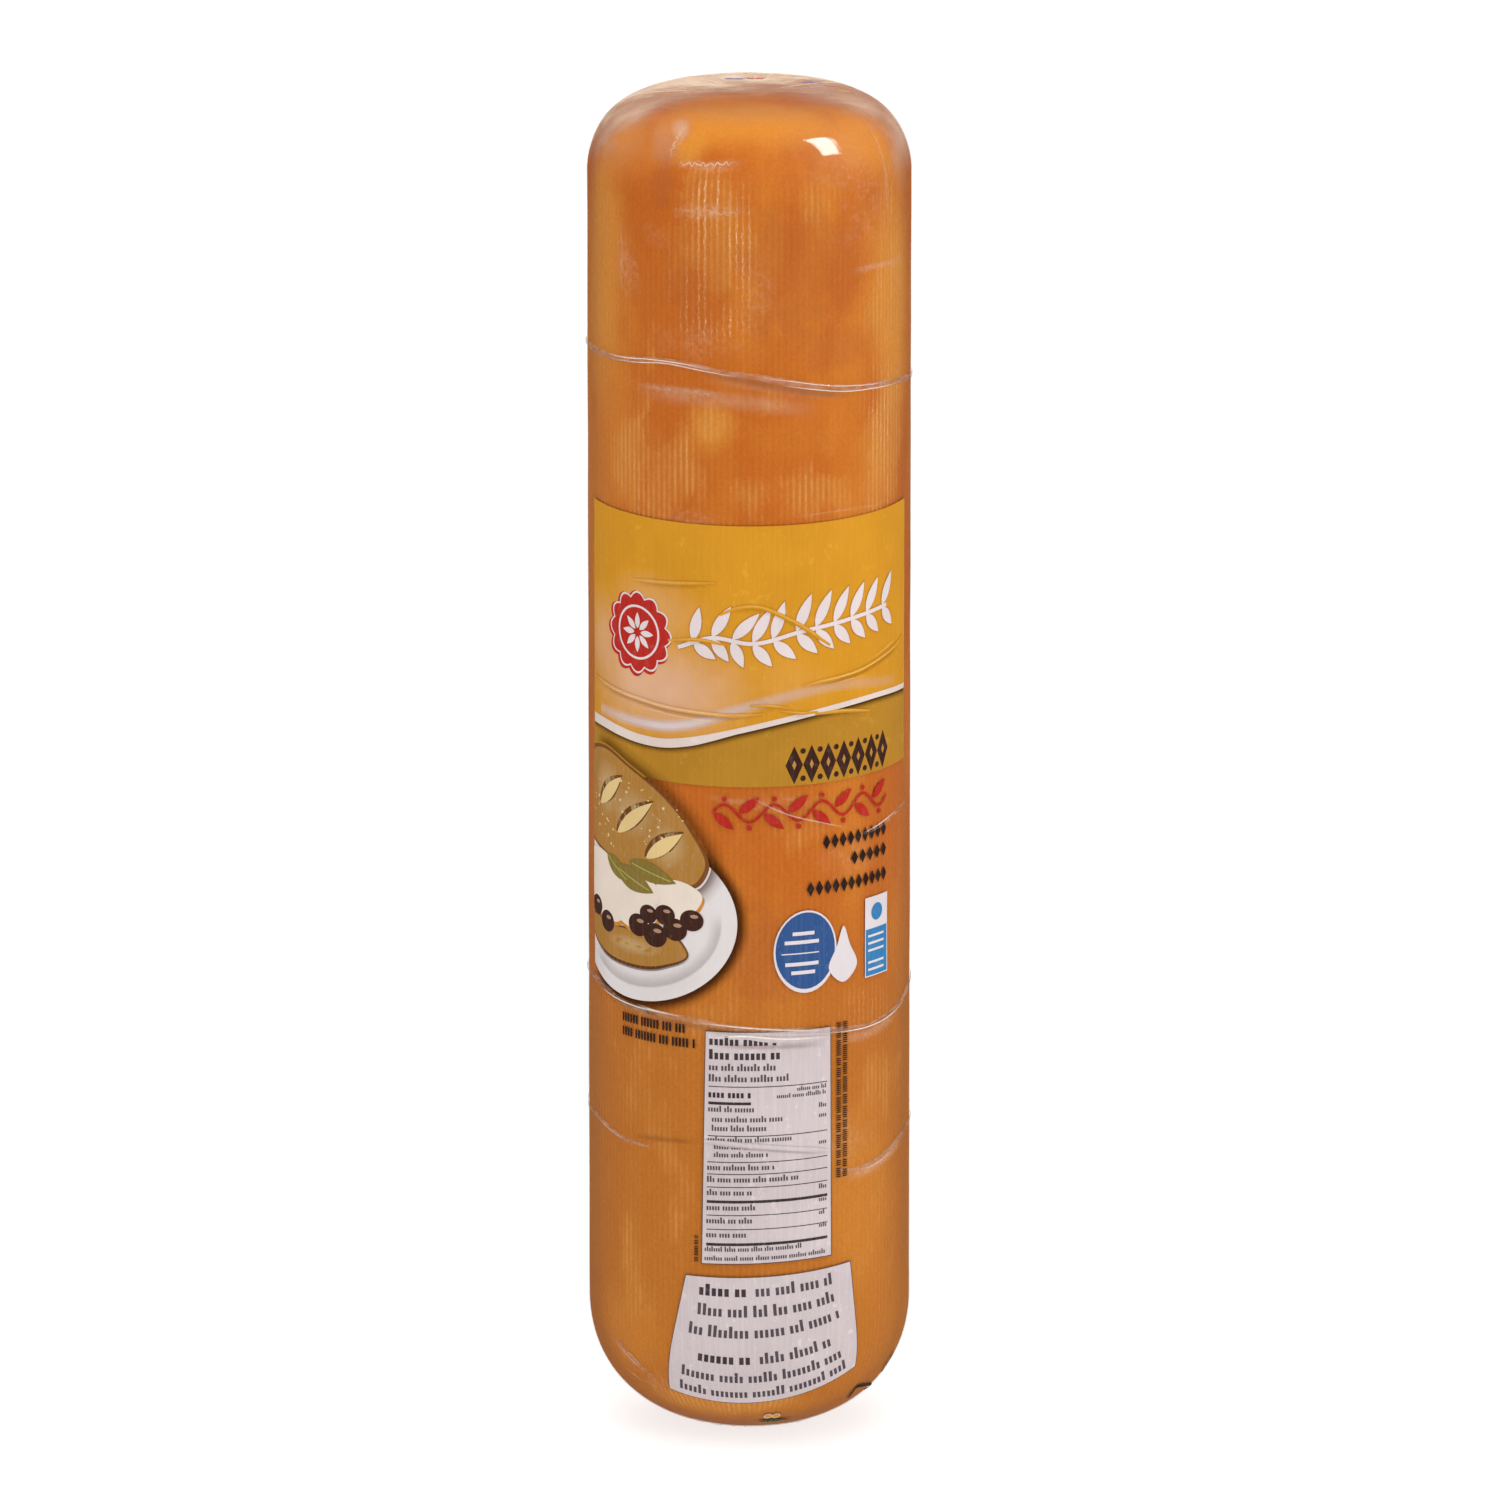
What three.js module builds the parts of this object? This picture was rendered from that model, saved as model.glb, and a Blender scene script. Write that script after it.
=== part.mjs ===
// A smoked provolone log, shrink-wrapped in clear printed film, standing on its base.
// Millimetres, +Z up along the log, origin at the middle of the base flat, printed front facing -Y.
// The log, its rind and the tight film are one solid: the film clings to the cheese all over.
import * as THREE from "three";

// Driving dimensions
const LOG_RADIUS = 47.5;
const LOG_LENGTH = 400;
const BASE_FLAT_RADIUS = 18; // the settled spot that the log stands on
const TOP_DOME_HEIGHT = 22;
const BASE_DOME_HEIGHT = 38; // before the settled spot is taken off it
// Each dome is a superellipse: (r/R)^acrossPower + (depth/height)^depthPower = 1
const TOP_DOME = { acrossPower: 5.6, depthPower: 1.65 };
const BASE_DOME = { acrossPower: 2.6, depthPower: 2.07 };

// Hand-made unevenness of the round section, two and three lobes
const TWO_LOBE_SWELL = 0.12;
const THREE_LOBE_SWELL = 0.08;

// Where the film drew tight it left ridges that run round the log and wander up and down.
// height: mean height of the ridge line; cos, sin, cos2: its rise and fall round the log
const RIDGE_HALF_WIDTH = 2.2;
const SHRINK_RIDGES = [
  { height: 91.5, cos: -0.5, sin: -4, cos2: 1, relief: 0.45 },
  { height: 130.5, cos: -2.5, sin: -2.5, cos2: -1, relief: 0.7 },
  { height: 322, cos: 6, sin: -5, cos2: 1, relief: 0.6 },
];

// Fineness of the facets
const SEGMENTS_AROUND = 80;
const DOME_ROWS = 9;
const SPAN_ROW_SPACING = 22;

// How far below the full dome's lowest point the settled spot cuts it
const baseCut = BASE_DOME_HEIGHT - domeDepth(BASE_FLAT_RADIUS, BASE_DOME_HEIGHT, BASE_DOME);
const baseDomeTop = BASE_DOME_HEIGHT - baseCut;
const topDomeStart = LOG_LENGTH - TOP_DOME_HEIGHT;

// How far a dome has fallen away from its start when it has drawn in to this radius
function domeDepth(radius, height, { acrossPower, depthPower }) {
  const across = Math.min(radius / LOG_RADIUS, 1);
  return height * (1 - across ** acrossPower) ** (1 / depthPower);
}

// Radii from the full section in to innerRadius, closer together where the dome turns
function domeRadii(innerRadius) {
  const innerAngle = Math.acos(innerRadius / LOG_RADIUS);
  const radii = [];
  for (let row = 1; row <= DOME_ROWS; row++) {
    radii.push(LOG_RADIUS * Math.cos((innerAngle * row) / DOME_ROWS));
  }
  return radii;
}

// Rows of the straight part: close together at each ridge and even between them
function barrelHeights() {
  const heights = [baseDomeTop];
  for (const { height } of SHRINK_RIDGES) {
    addSpan(heights, height - RIDGE_HALF_WIDTH);
    for (const step of [-0.5, 0, 0.5, 1]) {
      heights.push(height + step * RIDGE_HALF_WIDTH);
    }
  }
  addSpan(heights, topDomeStart);
  return heights;
}

function addSpan(heights, end) {
  const start = heights.at(-1);
  const rows = Math.ceil((end - start) / SPAN_ROW_SPACING);
  for (let row = 1; row <= rows; row++) {
    heights.push(start + ((end - start) * row) / rows);
  }
}

// The log's section from the base's centre, out and up, to the top's centre
function logProfile() {
  const points = [new THREE.Vector2(0, 0)];
  for (const radius of domeRadii(BASE_FLAT_RADIUS).reverse()) {
    const depth = domeDepth(radius, BASE_DOME_HEIGHT, BASE_DOME);
    points.push(new THREE.Vector2(radius, baseDomeTop - depth));
  }
  for (const height of barrelHeights()) {
    points.push(new THREE.Vector2(LOG_RADIUS, height));
  }
  for (const radius of domeRadii(0).slice(0, -1)) {
    const depth = domeDepth(radius, TOP_DOME_HEIGHT, TOP_DOME);
    points.push(new THREE.Vector2(radius, topDomeStart + depth));
  }
  points.push(new THREE.Vector2(0, LOG_LENGTH));
  return points;
}

function ridgeWander(ridge, angle) {
  return (
    ridge.cos * Math.cos(angle) + ridge.sin * Math.sin(angle) + ridge.cos2 * Math.cos(2 * angle)
  );
}

// How much of a ridge's wander a row at this height takes: all at the ridge, none at its neighbours
function wanderShare(index, height) {
  const ridge = SHRINK_RIDGES[index];
  const below = index > 0 ? SHRINK_RIDGES[index - 1].height : baseDomeTop;
  const above = index + 1 < SHRINK_RIDGES.length ? SHRINK_RIDGES[index + 1].height : topDomeStart;
  const away = Math.max(Math.abs(height - ridge.height) - RIDGE_HALF_WIDTH, 0);
  const room = (height < ridge.height ? ridge.height - below : above - ridge.height) - 2 * RIDGE_HALF_WIDTH;
  return Math.max(1 - away / room, 0);
}

// A ridge's rounded section, and its shallow change of strength round the log
function ridgeRelief(ridge, height, angle) {
  const across = (height - ridge.height) / RIDGE_HALF_WIDTH;
  if (Math.abs(across) >= 1) return 0;
  const strength = 0.75 + 0.25 * Math.sin(3 * angle + ridge.height);
  return ridge.relief * strength * (1 + Math.cos(Math.PI * across)) * 0.5;
}

// Moves each point of the round body outwards by its relief and up or down with the ridges
function settleFilm(geometry) {
  const position = geometry.getAttribute("position");
  const point = new THREE.Vector3();
  for (let i = 0; i < position.count; i++) {
    point.fromBufferAttribute(position, i);
    const radius = Math.hypot(point.x, point.y);
    if (radius < BASE_FLAT_RADIUS + 1e-3) continue;
    const angle = Math.atan2(point.x, -point.y); // zero at the front, positive to the right
    const barrel = radius > LOG_RADIUS - 1e-3;
    let relief = TWO_LOBE_SWELL * Math.cos(2 * angle) + THREE_LOBE_SWELL * Math.cos(3 * angle);
    relief *= radius / LOG_RADIUS;
    let rise = 0;
    if (barrel) {
      SHRINK_RIDGES.forEach((ridge, index) => {
        relief += ridgeRelief(ridge, point.z, angle);
        rise += ridgeWander(ridge, angle) * wanderShare(index, point.z);
      });
    }
    const scale = (radius + relief) / radius;
    position.setXYZ(i, point.x * scale, point.y * scale, point.z + rise);
  }
  return geometry;
}

function sealedLog() {
  const geometry = new THREE.LatheGeometry(logProfile(), SEGMENTS_AROUND);
  geometry.rotateX(Math.PI / 2);
  settleFilm(geometry);
  geometry.computeVertexNormals();
  const smokedRind = new THREE.MeshStandardMaterial({
    color: 0xc9782a,
    roughness: 0.25,
    metalness: 0,
  });
  const log = new THREE.Mesh(geometry, smokedRind);
  log.name = "sealed_provolone";
  return log;
}

const part = new THREE.Group();
part.add(sealedLog());

export default part;
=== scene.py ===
"""A smoked provolone log in tight clear printed film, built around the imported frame."""
import random
from math import acos, asin, atan2, cos, pi, radians, sin

import bpy
import numpy as np
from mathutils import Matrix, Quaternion, Vector, geometry, noise


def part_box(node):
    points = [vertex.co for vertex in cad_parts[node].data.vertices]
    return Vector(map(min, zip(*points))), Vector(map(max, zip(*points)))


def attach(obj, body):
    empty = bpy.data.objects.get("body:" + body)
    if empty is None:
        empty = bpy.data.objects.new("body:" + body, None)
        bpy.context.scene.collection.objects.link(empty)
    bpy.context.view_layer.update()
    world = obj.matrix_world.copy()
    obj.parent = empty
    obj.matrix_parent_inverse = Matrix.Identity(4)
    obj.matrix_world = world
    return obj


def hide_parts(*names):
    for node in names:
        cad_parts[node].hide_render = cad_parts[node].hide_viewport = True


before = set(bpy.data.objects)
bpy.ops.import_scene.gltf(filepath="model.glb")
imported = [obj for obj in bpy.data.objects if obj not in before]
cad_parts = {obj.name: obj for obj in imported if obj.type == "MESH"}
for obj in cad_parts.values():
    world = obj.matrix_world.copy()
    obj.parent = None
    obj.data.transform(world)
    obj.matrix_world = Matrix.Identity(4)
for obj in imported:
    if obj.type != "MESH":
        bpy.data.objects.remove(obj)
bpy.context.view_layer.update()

# ---------------- sizes, in millimetres
MM = 0.001
NODE = "sealed_provolone"
LOG_RADIUS = 47.5
LOG_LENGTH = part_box(NODE)[1].z / MM
BASE_FLAT_RADIUS = 18
# Each dome is a superellipse: its height, and its powers across and along the log
TOP_DOME = (22, 5.6, 1.65)
BASE_DOME = (38, 2.6, 2.07)
# Ridges where the film drew tight: the mean height, and how much they rise and fall with the
# cosine and the sine of the angle, and with the cosine of twice the angle
UPPER_RIDGE = (322, 6, -5, 1)
MIDDLE_RIDGE = (130.5, -2.5, -2.5, -1)
LOWER_RIDGE = (91.5, -0.5, -4, 1)

FILM_LIFT = -0.1  # the film lies just inside the solid's surface
RIND_GAP = 0.3  # from the film to the crests of the rind's ribs
RIB_COUNT = 159
RIB_DEPTH = 0.2
RIB_FADE = 16  # the ribs fade out over this height on the shoulder
PRINT_LIFT = 0.05  # the lowest layer of print, above the film
LAYER_GAP = 0.035  # from one layer of print to the next
FOLD_LIFT = 0.28  # folds in the printed film start above all its layers

# Fineness of the skins: steps of the outline, and columns, barrel and dome steps of each mesh
FLAT_STEPS, DOME_STEPS, BARREL_STEPS = 20, 160, 400
CHEESE_MESH = (RIB_COUNT * 4, 5, 2.2)
FILM_MESH = (300, 2.5, 1.5)
POLE_GAP = 1  # from the first and last row of a mesh to its poles
# Depth and size of the slow lumps that the cheese and its film share, and of the film's own
SWAY, SWAY_SIZE, RIPPLE, RIPPLE_SIZE = 0.12, 26, 0.03, 7

# ---------------- camera, as in the picture
PICTURE = 1500  # side of the square picture, in pixels
PICTURE_CENTRE = (749.3, 749.8)  # where the log's middle is seen
PICTURE_RADIUS = 162.1  # the log's radius as seen, in pixels
PIXEL = LOG_RADIUS / PICTURE_RADIUS
ELEVATION = radians(15.5)
CAMERA_DISTANCE = 120 * LOG_RADIUS
SENSOR_MM = 36
FOCAL_PIXELS = PICTURE_RADIUS * CAMERA_DISTANCE / LOG_RADIUS
AIM_HEIGHT = 202
SEEK_ROUNDS = 30  # how often seen() corrects its guess


# ---------------- the log's skin
def dome_depth(radius, dome):
    """How far a dome has fallen away where it has drawn in to this radius."""
    height, across_power, depth_power = dome
    across = np.clip(radius / LOG_RADIUS, 0, 1)
    return height * (1 - across ** across_power) ** (1 / depth_power)


def skin_profile():
    """The log's outline from the middle of the base to the middle of the top."""
    turn = np.linspace(acos(BASE_FLAT_RADIUS / LOG_RADIUS), 0, DOME_STEPS)
    base_r = LOG_RADIUS * np.cos(turn)
    base_z = float(dome_depth(BASE_FLAT_RADIUS, BASE_DOME)) - dome_depth(base_r, BASE_DOME)
    top_r = LOG_RADIUS * np.sin(np.linspace(pi / 2, 0, DOME_STEPS))
    top_z = LOG_LENGTH - TOP_DOME[0] + dome_depth(top_r, TOP_DOME)
    flat_r = np.linspace(0, BASE_FLAT_RADIUS, FLAT_STEPS)[:-1]
    barrel_z = np.linspace(base_z[-1], top_z[0], BARREL_STEPS)[1:-1]
    radius = np.concatenate([flat_r, base_r, np.full(len(barrel_z), LOG_RADIUS), top_r])
    height = np.concatenate([np.zeros(len(flat_r)), base_z, barrel_z, top_z])
    return radius, height


SKIN_R, SKIN_Z = skin_profile()
SKIN_S = np.concatenate([[0], np.cumsum(np.hypot(np.diff(SKIN_R), np.diff(SKIN_Z)))])
SLOPE_R, SLOPE_Z = np.gradient(SKIN_R, SKIN_S), np.gradient(SKIN_Z, SKIN_S)
SKIN_END = float(SKIN_S[-1])
BARREL_START, BARREL_END = SKIN_S[SKIN_R >= LOG_RADIUS - 1e-6][[0, -1]].tolist()


def slope_at(along):
    return np.interp(along, SKIN_S, SLOPE_R), np.interp(along, SKIN_S, SLOPE_Z)


def height_of(along):
    return float(np.interp(along, SKIN_S, SKIN_Z))


def place(angle, along, lift):
    """Points in metres: angle round the log from its front, way along the skin, lift off it.
    Nothing goes below the floor."""
    slope_r, slope_z = slope_at(along)
    length = np.hypot(slope_r, slope_z)
    radius = np.maximum(np.interp(along, SKIN_S, SKIN_R) + lift * slope_z / length, 0)
    height = np.maximum(np.interp(along, SKIN_S, SKIN_Z) - lift * slope_r / length, 0)
    return np.stack([radius * np.sin(angle), -radius * np.cos(angle), height], -1) * MM


def seen(x, y):
    """The place on the film, (angle, way along), that the picture shows at these pixels."""
    x, y = np.asarray(x, float), np.asarray(y, float)
    depth, radius = CAMERA_DISTANCE, np.full(x.shape, LOG_RADIUS)
    for _ in range(SEEK_ROUNDS):
        across = (x - PICTURE_CENTRE[0]) * depth / FOCAL_PIXELS
        rise = (PICTURE_CENTRE[1] - y) * depth / FOCAL_PIXELS
        angle = np.arcsin(np.clip(across / radius, -0.9999, 0.9999))
        back = -radius * np.cos(angle)
        height = (rise - back * sin(ELEVATION)) / cos(ELEVATION)
        depth = CAMERA_DISTANCE + back * cos(ELEVATION) - height * sin(ELEVATION)
        height = np.clip(height + AIM_HEIGHT, 0.5, LOG_LENGTH - 0.5)
        along = np.interp(height, SKIN_Z[FLAT_STEPS:], SKIN_S[FLAT_STEPS:])
        radius = (radius + np.maximum(np.interp(along, SKIN_S, SKIN_R), abs(across))) / 2
    return angle, along


# ---------------- places and paths on the film
# A flat place is (way round, way along) in mm: from the front to the right, and up the skin.
def film(points):
    """Flat places of picture points."""
    x, y = np.array(points, float).T
    angle, along = seen(x, y)
    return np.stack([angle * LOG_RADIUS, along], -1)


def column(x):
    """Way round the film of a picture column."""
    return LOG_RADIUS * asin((x - PICTURE_CENTRE[0]) / PICTURE_RADIUS)


def row(y):
    """Way along the film of the picture row that crosses the middle of the front."""
    return float(seen(PICTURE_CENTRE[0], y)[1])


def level_place(x, y):
    """Flat place where a picture column crosses a level line through a picture row."""
    return column(x), row(y)


def top_place(across, back):
    """Flat place of a point on the top, in mm to the right of the axis and behind it."""
    top = SKIN_S >= BARREL_END
    along = np.interp(-np.hypot(across, back), -SKIN_R[top], SKIN_S[top])
    return np.stack([np.arctan2(across, -back) * LOG_RADIUS, along], -1)


def run_of(path):
    """How far along a path each of its places is."""
    return np.concatenate([[0], np.cumsum(np.linalg.norm(np.diff(path, axis=0), axis=1))])


def smooth_path(points, step=1, closed=False):
    """Places every step or so along a smooth curve through the given ones."""
    points = np.asarray(points, float)
    if closed:
        points = np.concatenate([points[-2:], points, points[:3]])
    reach = run_of(points)
    slope = np.gradient(points, reach, axis=0)
    first, last = (reach[2], reach[-3]) if closed else (0, reach[-1])
    at = np.linspace(first, last, max(int((last - first) / step), 3) + 1)
    if closed:
        at = at[:-1]
    before = np.clip(np.searchsorted(reach, at, "right") - 1, 0, len(reach) - 2)
    span = (reach[before + 1] - reach[before])[:, None]
    t = (at - reach[before])[:, None] / span
    blend = t * t * (3 - 2 * t)
    bend = span * t * (1 - t) * ((1 - t) * slope[before] - t * slope[before + 1])
    return (1 - blend) * points[before] + blend * points[before + 1] + bend


def seen_path(points, step=0.8):
    """A smooth path on the film through these picture points."""
    return smooth_path(film(points), step)


def straight_path(points, step=1.5):
    """Places every step or so along the straight lines between the given ones."""
    parts = []
    for start, end in zip(points, points[1:]):
        start, end = np.asarray(start, float), np.asarray(end, float)
        count = max(int(np.linalg.norm(end - start) / step), 1)
        parts.append(start + (end - start) * np.arange(count)[:, None] / count)
    return np.concatenate([*parts, [points[-1]]])


def beside(path, offset):
    """A path moved sideways, to its left where the offset is positive."""
    ahead = np.gradient(path, axis=0)
    ahead = ahead / np.linalg.norm(ahead, axis=1)[:, None]
    left = np.stack([-ahead[:, 1], ahead[:, 0]], 1)
    return path + left * np.broadcast_to(offset, len(path))[:, None]


def smooth_step(low, high, value):
    share = np.clip((value - low) / (high - low), 0, 1)
    return share * share * (3 - 2 * share)


def tapered(path, reach):
    """A share that rises from 0 at each end of a path to 1 within this reach."""
    run = run_of(path)
    return smooth_step(0, reach, np.minimum(run, run[-1] - run))


RIB_TOP = row(168)  # the ribs fade out here on the shoulder
RIB_BASE = row(1405)  # and here towards the base


def wave(angle, along, scale, seed):
    """Smooth noise from -1 to 1 that closes round the log, with lumps of about this size in mm."""
    x, y = np.sin(angle) * LOG_RADIUS / scale, np.cos(angle) * LOG_RADIUS / scale
    z = along / scale
    flat = [noise.noise(Vector((a + seed, b - seed, c + seed))) for a, b, c in
            zip(x.ravel(), y.ravel(), z.ravel())]
    return np.array(flat).reshape(np.shape(angle))


def sway(angle, along):
    return SWAY * wave(angle, along, SWAY_SIZE, 3.1)


def film_relief(angle, along):
    return FILM_LIFT + sway(angle, along) + RIPPLE * wave(angle, along, RIPPLE_SIZE, 8.4)


def rind_relief(angle, along):
    ribbed = smooth_step(RIB_BASE - 12, RIB_BASE + 6, along)
    ribbed *= 1 - smooth_step(RIB_TOP - 12, RIB_TOP + 3, along)
    valley = 0.5 - 0.5 * np.cos(RIB_COUNT * angle)
    return FILM_LIFT - RIND_GAP + sway(angle, along) - RIB_DEPTH * ribbed * valley


# ---------------- meshes
def add_piece(name, points, faces, material):
    mesh = bpy.data.meshes.new(name)
    mesh.from_pydata([tuple(p) for p in points], [], faces)
    mesh.update()
    mesh.shade_smooth()
    mesh.materials.append(material)
    piece = bpy.data.objects.new(name, mesh)
    bpy.context.scene.collection.objects.link(piece)
    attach(piece, "root")
    return piece


def grid_faces(rows, columns, closed=False, first=0):
    """Faces of a grid of points that are numbered from first, row after row. Each runs from a
    point to the next row and back in the next column; a closed grid joins its last column to
    its first."""
    faces = []
    for near in range(first, first + (rows - 1) * columns, columns):
        for i in range(columns if closed else columns - 1):
            after = (i + 1) % columns
            faces.append((near + i, near + columns + i, near + columns + after, near + after))
    return faces


def skin_mesh(name, fineness, relief, material):
    """A closed skin round the log; relief(angle, along) lifts it off the log's surface, in mm."""
    columns, barrel_step, dome_step = fineness
    last = SKIN_END - POLE_GAP
    rows = np.concatenate([np.arange(POLE_GAP, BARREL_START, dome_step),
                           np.arange(BARREL_START, BARREL_END, barrel_step),
                           np.arange(BARREL_END, last, dome_step), [last]])
    angle, along = np.meshgrid(np.linspace(0, 2 * pi, columns, endpoint=False), rows)
    angle, along = np.append(angle, [0, 0]), np.append(along, [0, SKIN_END])
    faces = [(a, d, c, b) for a, b, c, d in grid_faces(len(rows), columns, closed=True)]
    low = len(rows) * columns
    for i in range(columns):
        after = (i + 1) % columns
        faces += [(after, i, low), (low - columns + i, low - columns + after, low + 1)]
    return add_piece(name, place(angle, along, relief(angle, along)), faces, material)


FILL_STEP = 2  # between the inner points of a filled outline
FILL_GAP = 0.45 * FILL_STEP  # from them to its rim
SMALL_FILL = 1.5 * FILL_STEP  # an outline smaller than this has none
GLOW_RINGS = ((0.35, 0.9), (0.7, 0.45), (1, 0))  # reach and strength
SHEETS = []  # in the order in which they become pieces


class Sheet:
    """Thin shapes of one look that lie on the film, joined into one piece. The look is a material,
    or a colour and whatever else print_material takes to make one."""

    def __init__(self, name, look, layer=0, slot="film_print", base=None):
        self.name, self.slot = name, slot
        self.material = print_material(name, *look) if isinstance(look, tuple) else look
        self.base = PRINT_LIFT + layer * LAYER_GAP if base is None else base
        self.flat, self.rises, self.fades, self.faces = [], [], [], []
        SHEETS.append(self)

    def add(self, flat, faces, rises=0.0, fades=1.0):
        start = sum(len(part) for part in self.flat)
        self.flat.append(np.asarray(flat, float))
        self.rises.append(np.broadcast_to(rises, len(flat)))
        self.fades.append(np.broadcast_to(fades, len(flat)))
        self.faces.extend(tuple(start + i for i in face) for face in faces)

    def fill(self, outline):
        """A filled outline. A large one gets inner points, so that it follows the round film."""
        outline = np.asarray(outline, float)
        low, high = outline.min(0), outline.max(0)
        if max(high - low) < SMALL_FILL:
            self.add(outline, [range(len(outline))])
            return
        ticks = [np.arange(start + FILL_STEP / 2, end, FILL_STEP) for start, end in zip(low, high)]
        grid = np.stack(np.meshgrid(*ticks), -1).reshape(-1, 2)
        apart = np.linalg.norm(grid[:, None] - outline[None], axis=2).min(1)
        corners = [Vector(p) for p in np.concatenate([outline, grid[apart > FILL_GAP]])]
        rim = [list(range(len(outline)))]
        flat, _, faces, *_ = geometry.delaunay_2d_cdt(corners, [], rim, 1, 1e-5)
        used = sorted({i for face in faces for i in face})
        fresh = {old: new for new, old in enumerate(used)}
        self.add([flat[i] for i in used], [[fresh[i] for i in face] for face in faces])

    def strip(self, path, offsets, rises=0.0, fades=1.0, swell=1.0, width=1.0):
        """A strip along a path. offsets run from its right to its left, with a rise and a fade each;
        swell scales both along the path, and width scales the offsets."""
        count, across = len(path), len(offsets)
        width = np.broadcast_to(width, count)
        flat = np.stack([beside(path, offset * width) for offset in offsets], 1).reshape(-1, 2)
        rises, fades = (np.outer(np.broadcast_to(swell, count), np.broadcast_to(share, across)).ravel()
                        for share in (rises, fades))
        self.add(flat, grid_faces(count, across), rises, fades)

    def line(self, path, width):
        self.strip(path, (-width / 2, width / 2))

    def glow(self, centre, half_width, half_height, count=28):
        """A soft oval that fades out from its middle."""
        flat, fades = [centre], [1.0]
        for reach, fade in GLOW_RINGS:
            flat.extend(ellipse(centre, half_width * reach, half_height * reach, count))
            fades.extend([fade] * count)
        fan = [(0, 1 + i, 1 + (i + 1) % count) for i in range(count)]
        self.add(flat, fan + grid_faces(len(GLOW_RINGS), count, closed=True, first=1), fades=fades)

    def finish(self):
        flat = np.concatenate(self.flat)
        angle, along = flat[:, 0] / LOG_RADIUS, flat[:, 1]
        lift = film_relief(angle, along) + self.base + np.concatenate(self.rises)
        piece = add_piece(self.name, place(angle, along, lift), self.faces, self.material)
        fade = piece.data.attributes.new("fade", "FLOAT", "POINT")
        fade.data.foreach_set("value", np.concatenate(self.fades))


# ---------------- materials
FILM_IOR = 1.45
GLANCING_LIMIT = 0.3  # the most that the film mirrors, seen at its edges
FILM_ROUGHNESS, PRINT_ROUGHNESS = 0.09, 0.08
FILM_RIBS = 0.05  # how much of the rind's ribs shows in the film's gloss
RIND_DEEP, RIND_AMBER, RIND_LOWER, RIND_BROWN = "#bf631d", "#ca7426", "#b76e26", "#a9562a"
# The cap's lighter orange is painted light from above
RIND_GOLD, RIND_CAP_LIGHT, RIND_DRY, RIND_STRIPE = "#d58a34", "#dc8a2f", "#d08a3c", "#dc9a54"
DRY_SPECK, BLOOM = "#f0caa0", "#d69e78"
TOP_MILK, RIM_MILK, FOLD_MILK = "#d8ae94", "#fbe0c4", "#ecc6ae"
FLECK_WHITE = "#f4ebe6"
PRINT_SHADE = (0.35, 0.3, 0.3, 1)

# Patches of the rind and the film, as the picture shows them:
# x, y, half width, half height, strength
WET_PATCHES = (
    (795, 425, 42, 20, 1), (775, 448, 52, 18, 1), (845, 440, 30, 40, 0.8),
    (620, 400, 20, 16, 0.5), (655, 430, 14, 22, 0.5), (640, 190, 34, 60, 1),
)
RIBBED_PATCHES = (
    (650, 462, 62, 66, 0.8), (712, 425, 30, 32, 0.9), (790, 495, 96, 30, 0.5), (888, 440, 26, 84, 0.9),
    (712, 250, 46, 90, 0.55), (888, 300, 22, 90, 0.6), (620, 340, 30, 60, 0.3), (800, 850, 100, 60, 0.35),
    (640, 1180, 60, 150, 0.35), (880, 1150, 30, 200, 0.35), (720, 1402, 100, 18, 1),
)
STREAK_PATCHES = (
    (716, 214, 36, 46, 0.95), (744, 250, 12, 90, 0.7), (690, 290, 24, 56, 0.45), (720, 325, 30, 22, 0.8),
    (893, 240, 12, 130, 0.45), (887, 400, 18, 60, 0.6), (870, 1010, 30, 26, 0.3), (715, 1398, 70, 14, 0.35),
)
BLOOM_PATCHES = (
    (712, 212, 36, 10, 1), (624, 264, 12, 34, 0.5), (655, 235, 16, 14, 0.2), (848, 1140, 26, 26, 0.5),
    (850, 172, 34, 20, 0.3), (700, 345, 50, 18, 0.35), (775, 805, 40, 12, 0.5), (755, 300, 20, 40, 0.3),
    (690, 520, 26, 10, 0.5), (655, 1385, 16, 12, 0.5), (850, 860, 34, 20, 0.35), (870, 200, 26, 60, 0.3),
    (705, 168, 36, 5, 0.6),
)
BROWN_PATCHES = (
    (661, 186, 13, 22, 0.35), (775, 240, 18, 34, 0.35), (765, 320, 16, 28, 0.4), (760, 960, 40, 60, 0.4),
    (700, 290, 40, 50, 0.25), (830, 350, 40, 26, 0.3), (800, 270, 70, 80, 0.35),
)
# The tall bands at the left and right edges are a paler painted reflection
GOLD_PATCHES = (
    (688, 145, 20, 18, 0.9), (712, 430, 30, 30, 0.75), (602, 260, 18, 150, 0.8), (896, 300, 20, 160, 0.9),
    (860, 1200, 40, 120, 0.4), (720, 1404, 110, 20, 0.6), (785, 440, 60, 30, 0.2), (885, 450, 22, 50, 0.5),
    (630, 1330, 36, 60, 0.35),
)
# Lighter orange where the cap faces up: painted light from above
CAP_LIGHT_PATCHES = (
    (750, 122, 126, 25, 0.9), (750, 103, 100, 20, 0.9), (862, 136, 46, 36, 0.8), (622, 136, 44, 34, 0.6),
)
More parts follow.
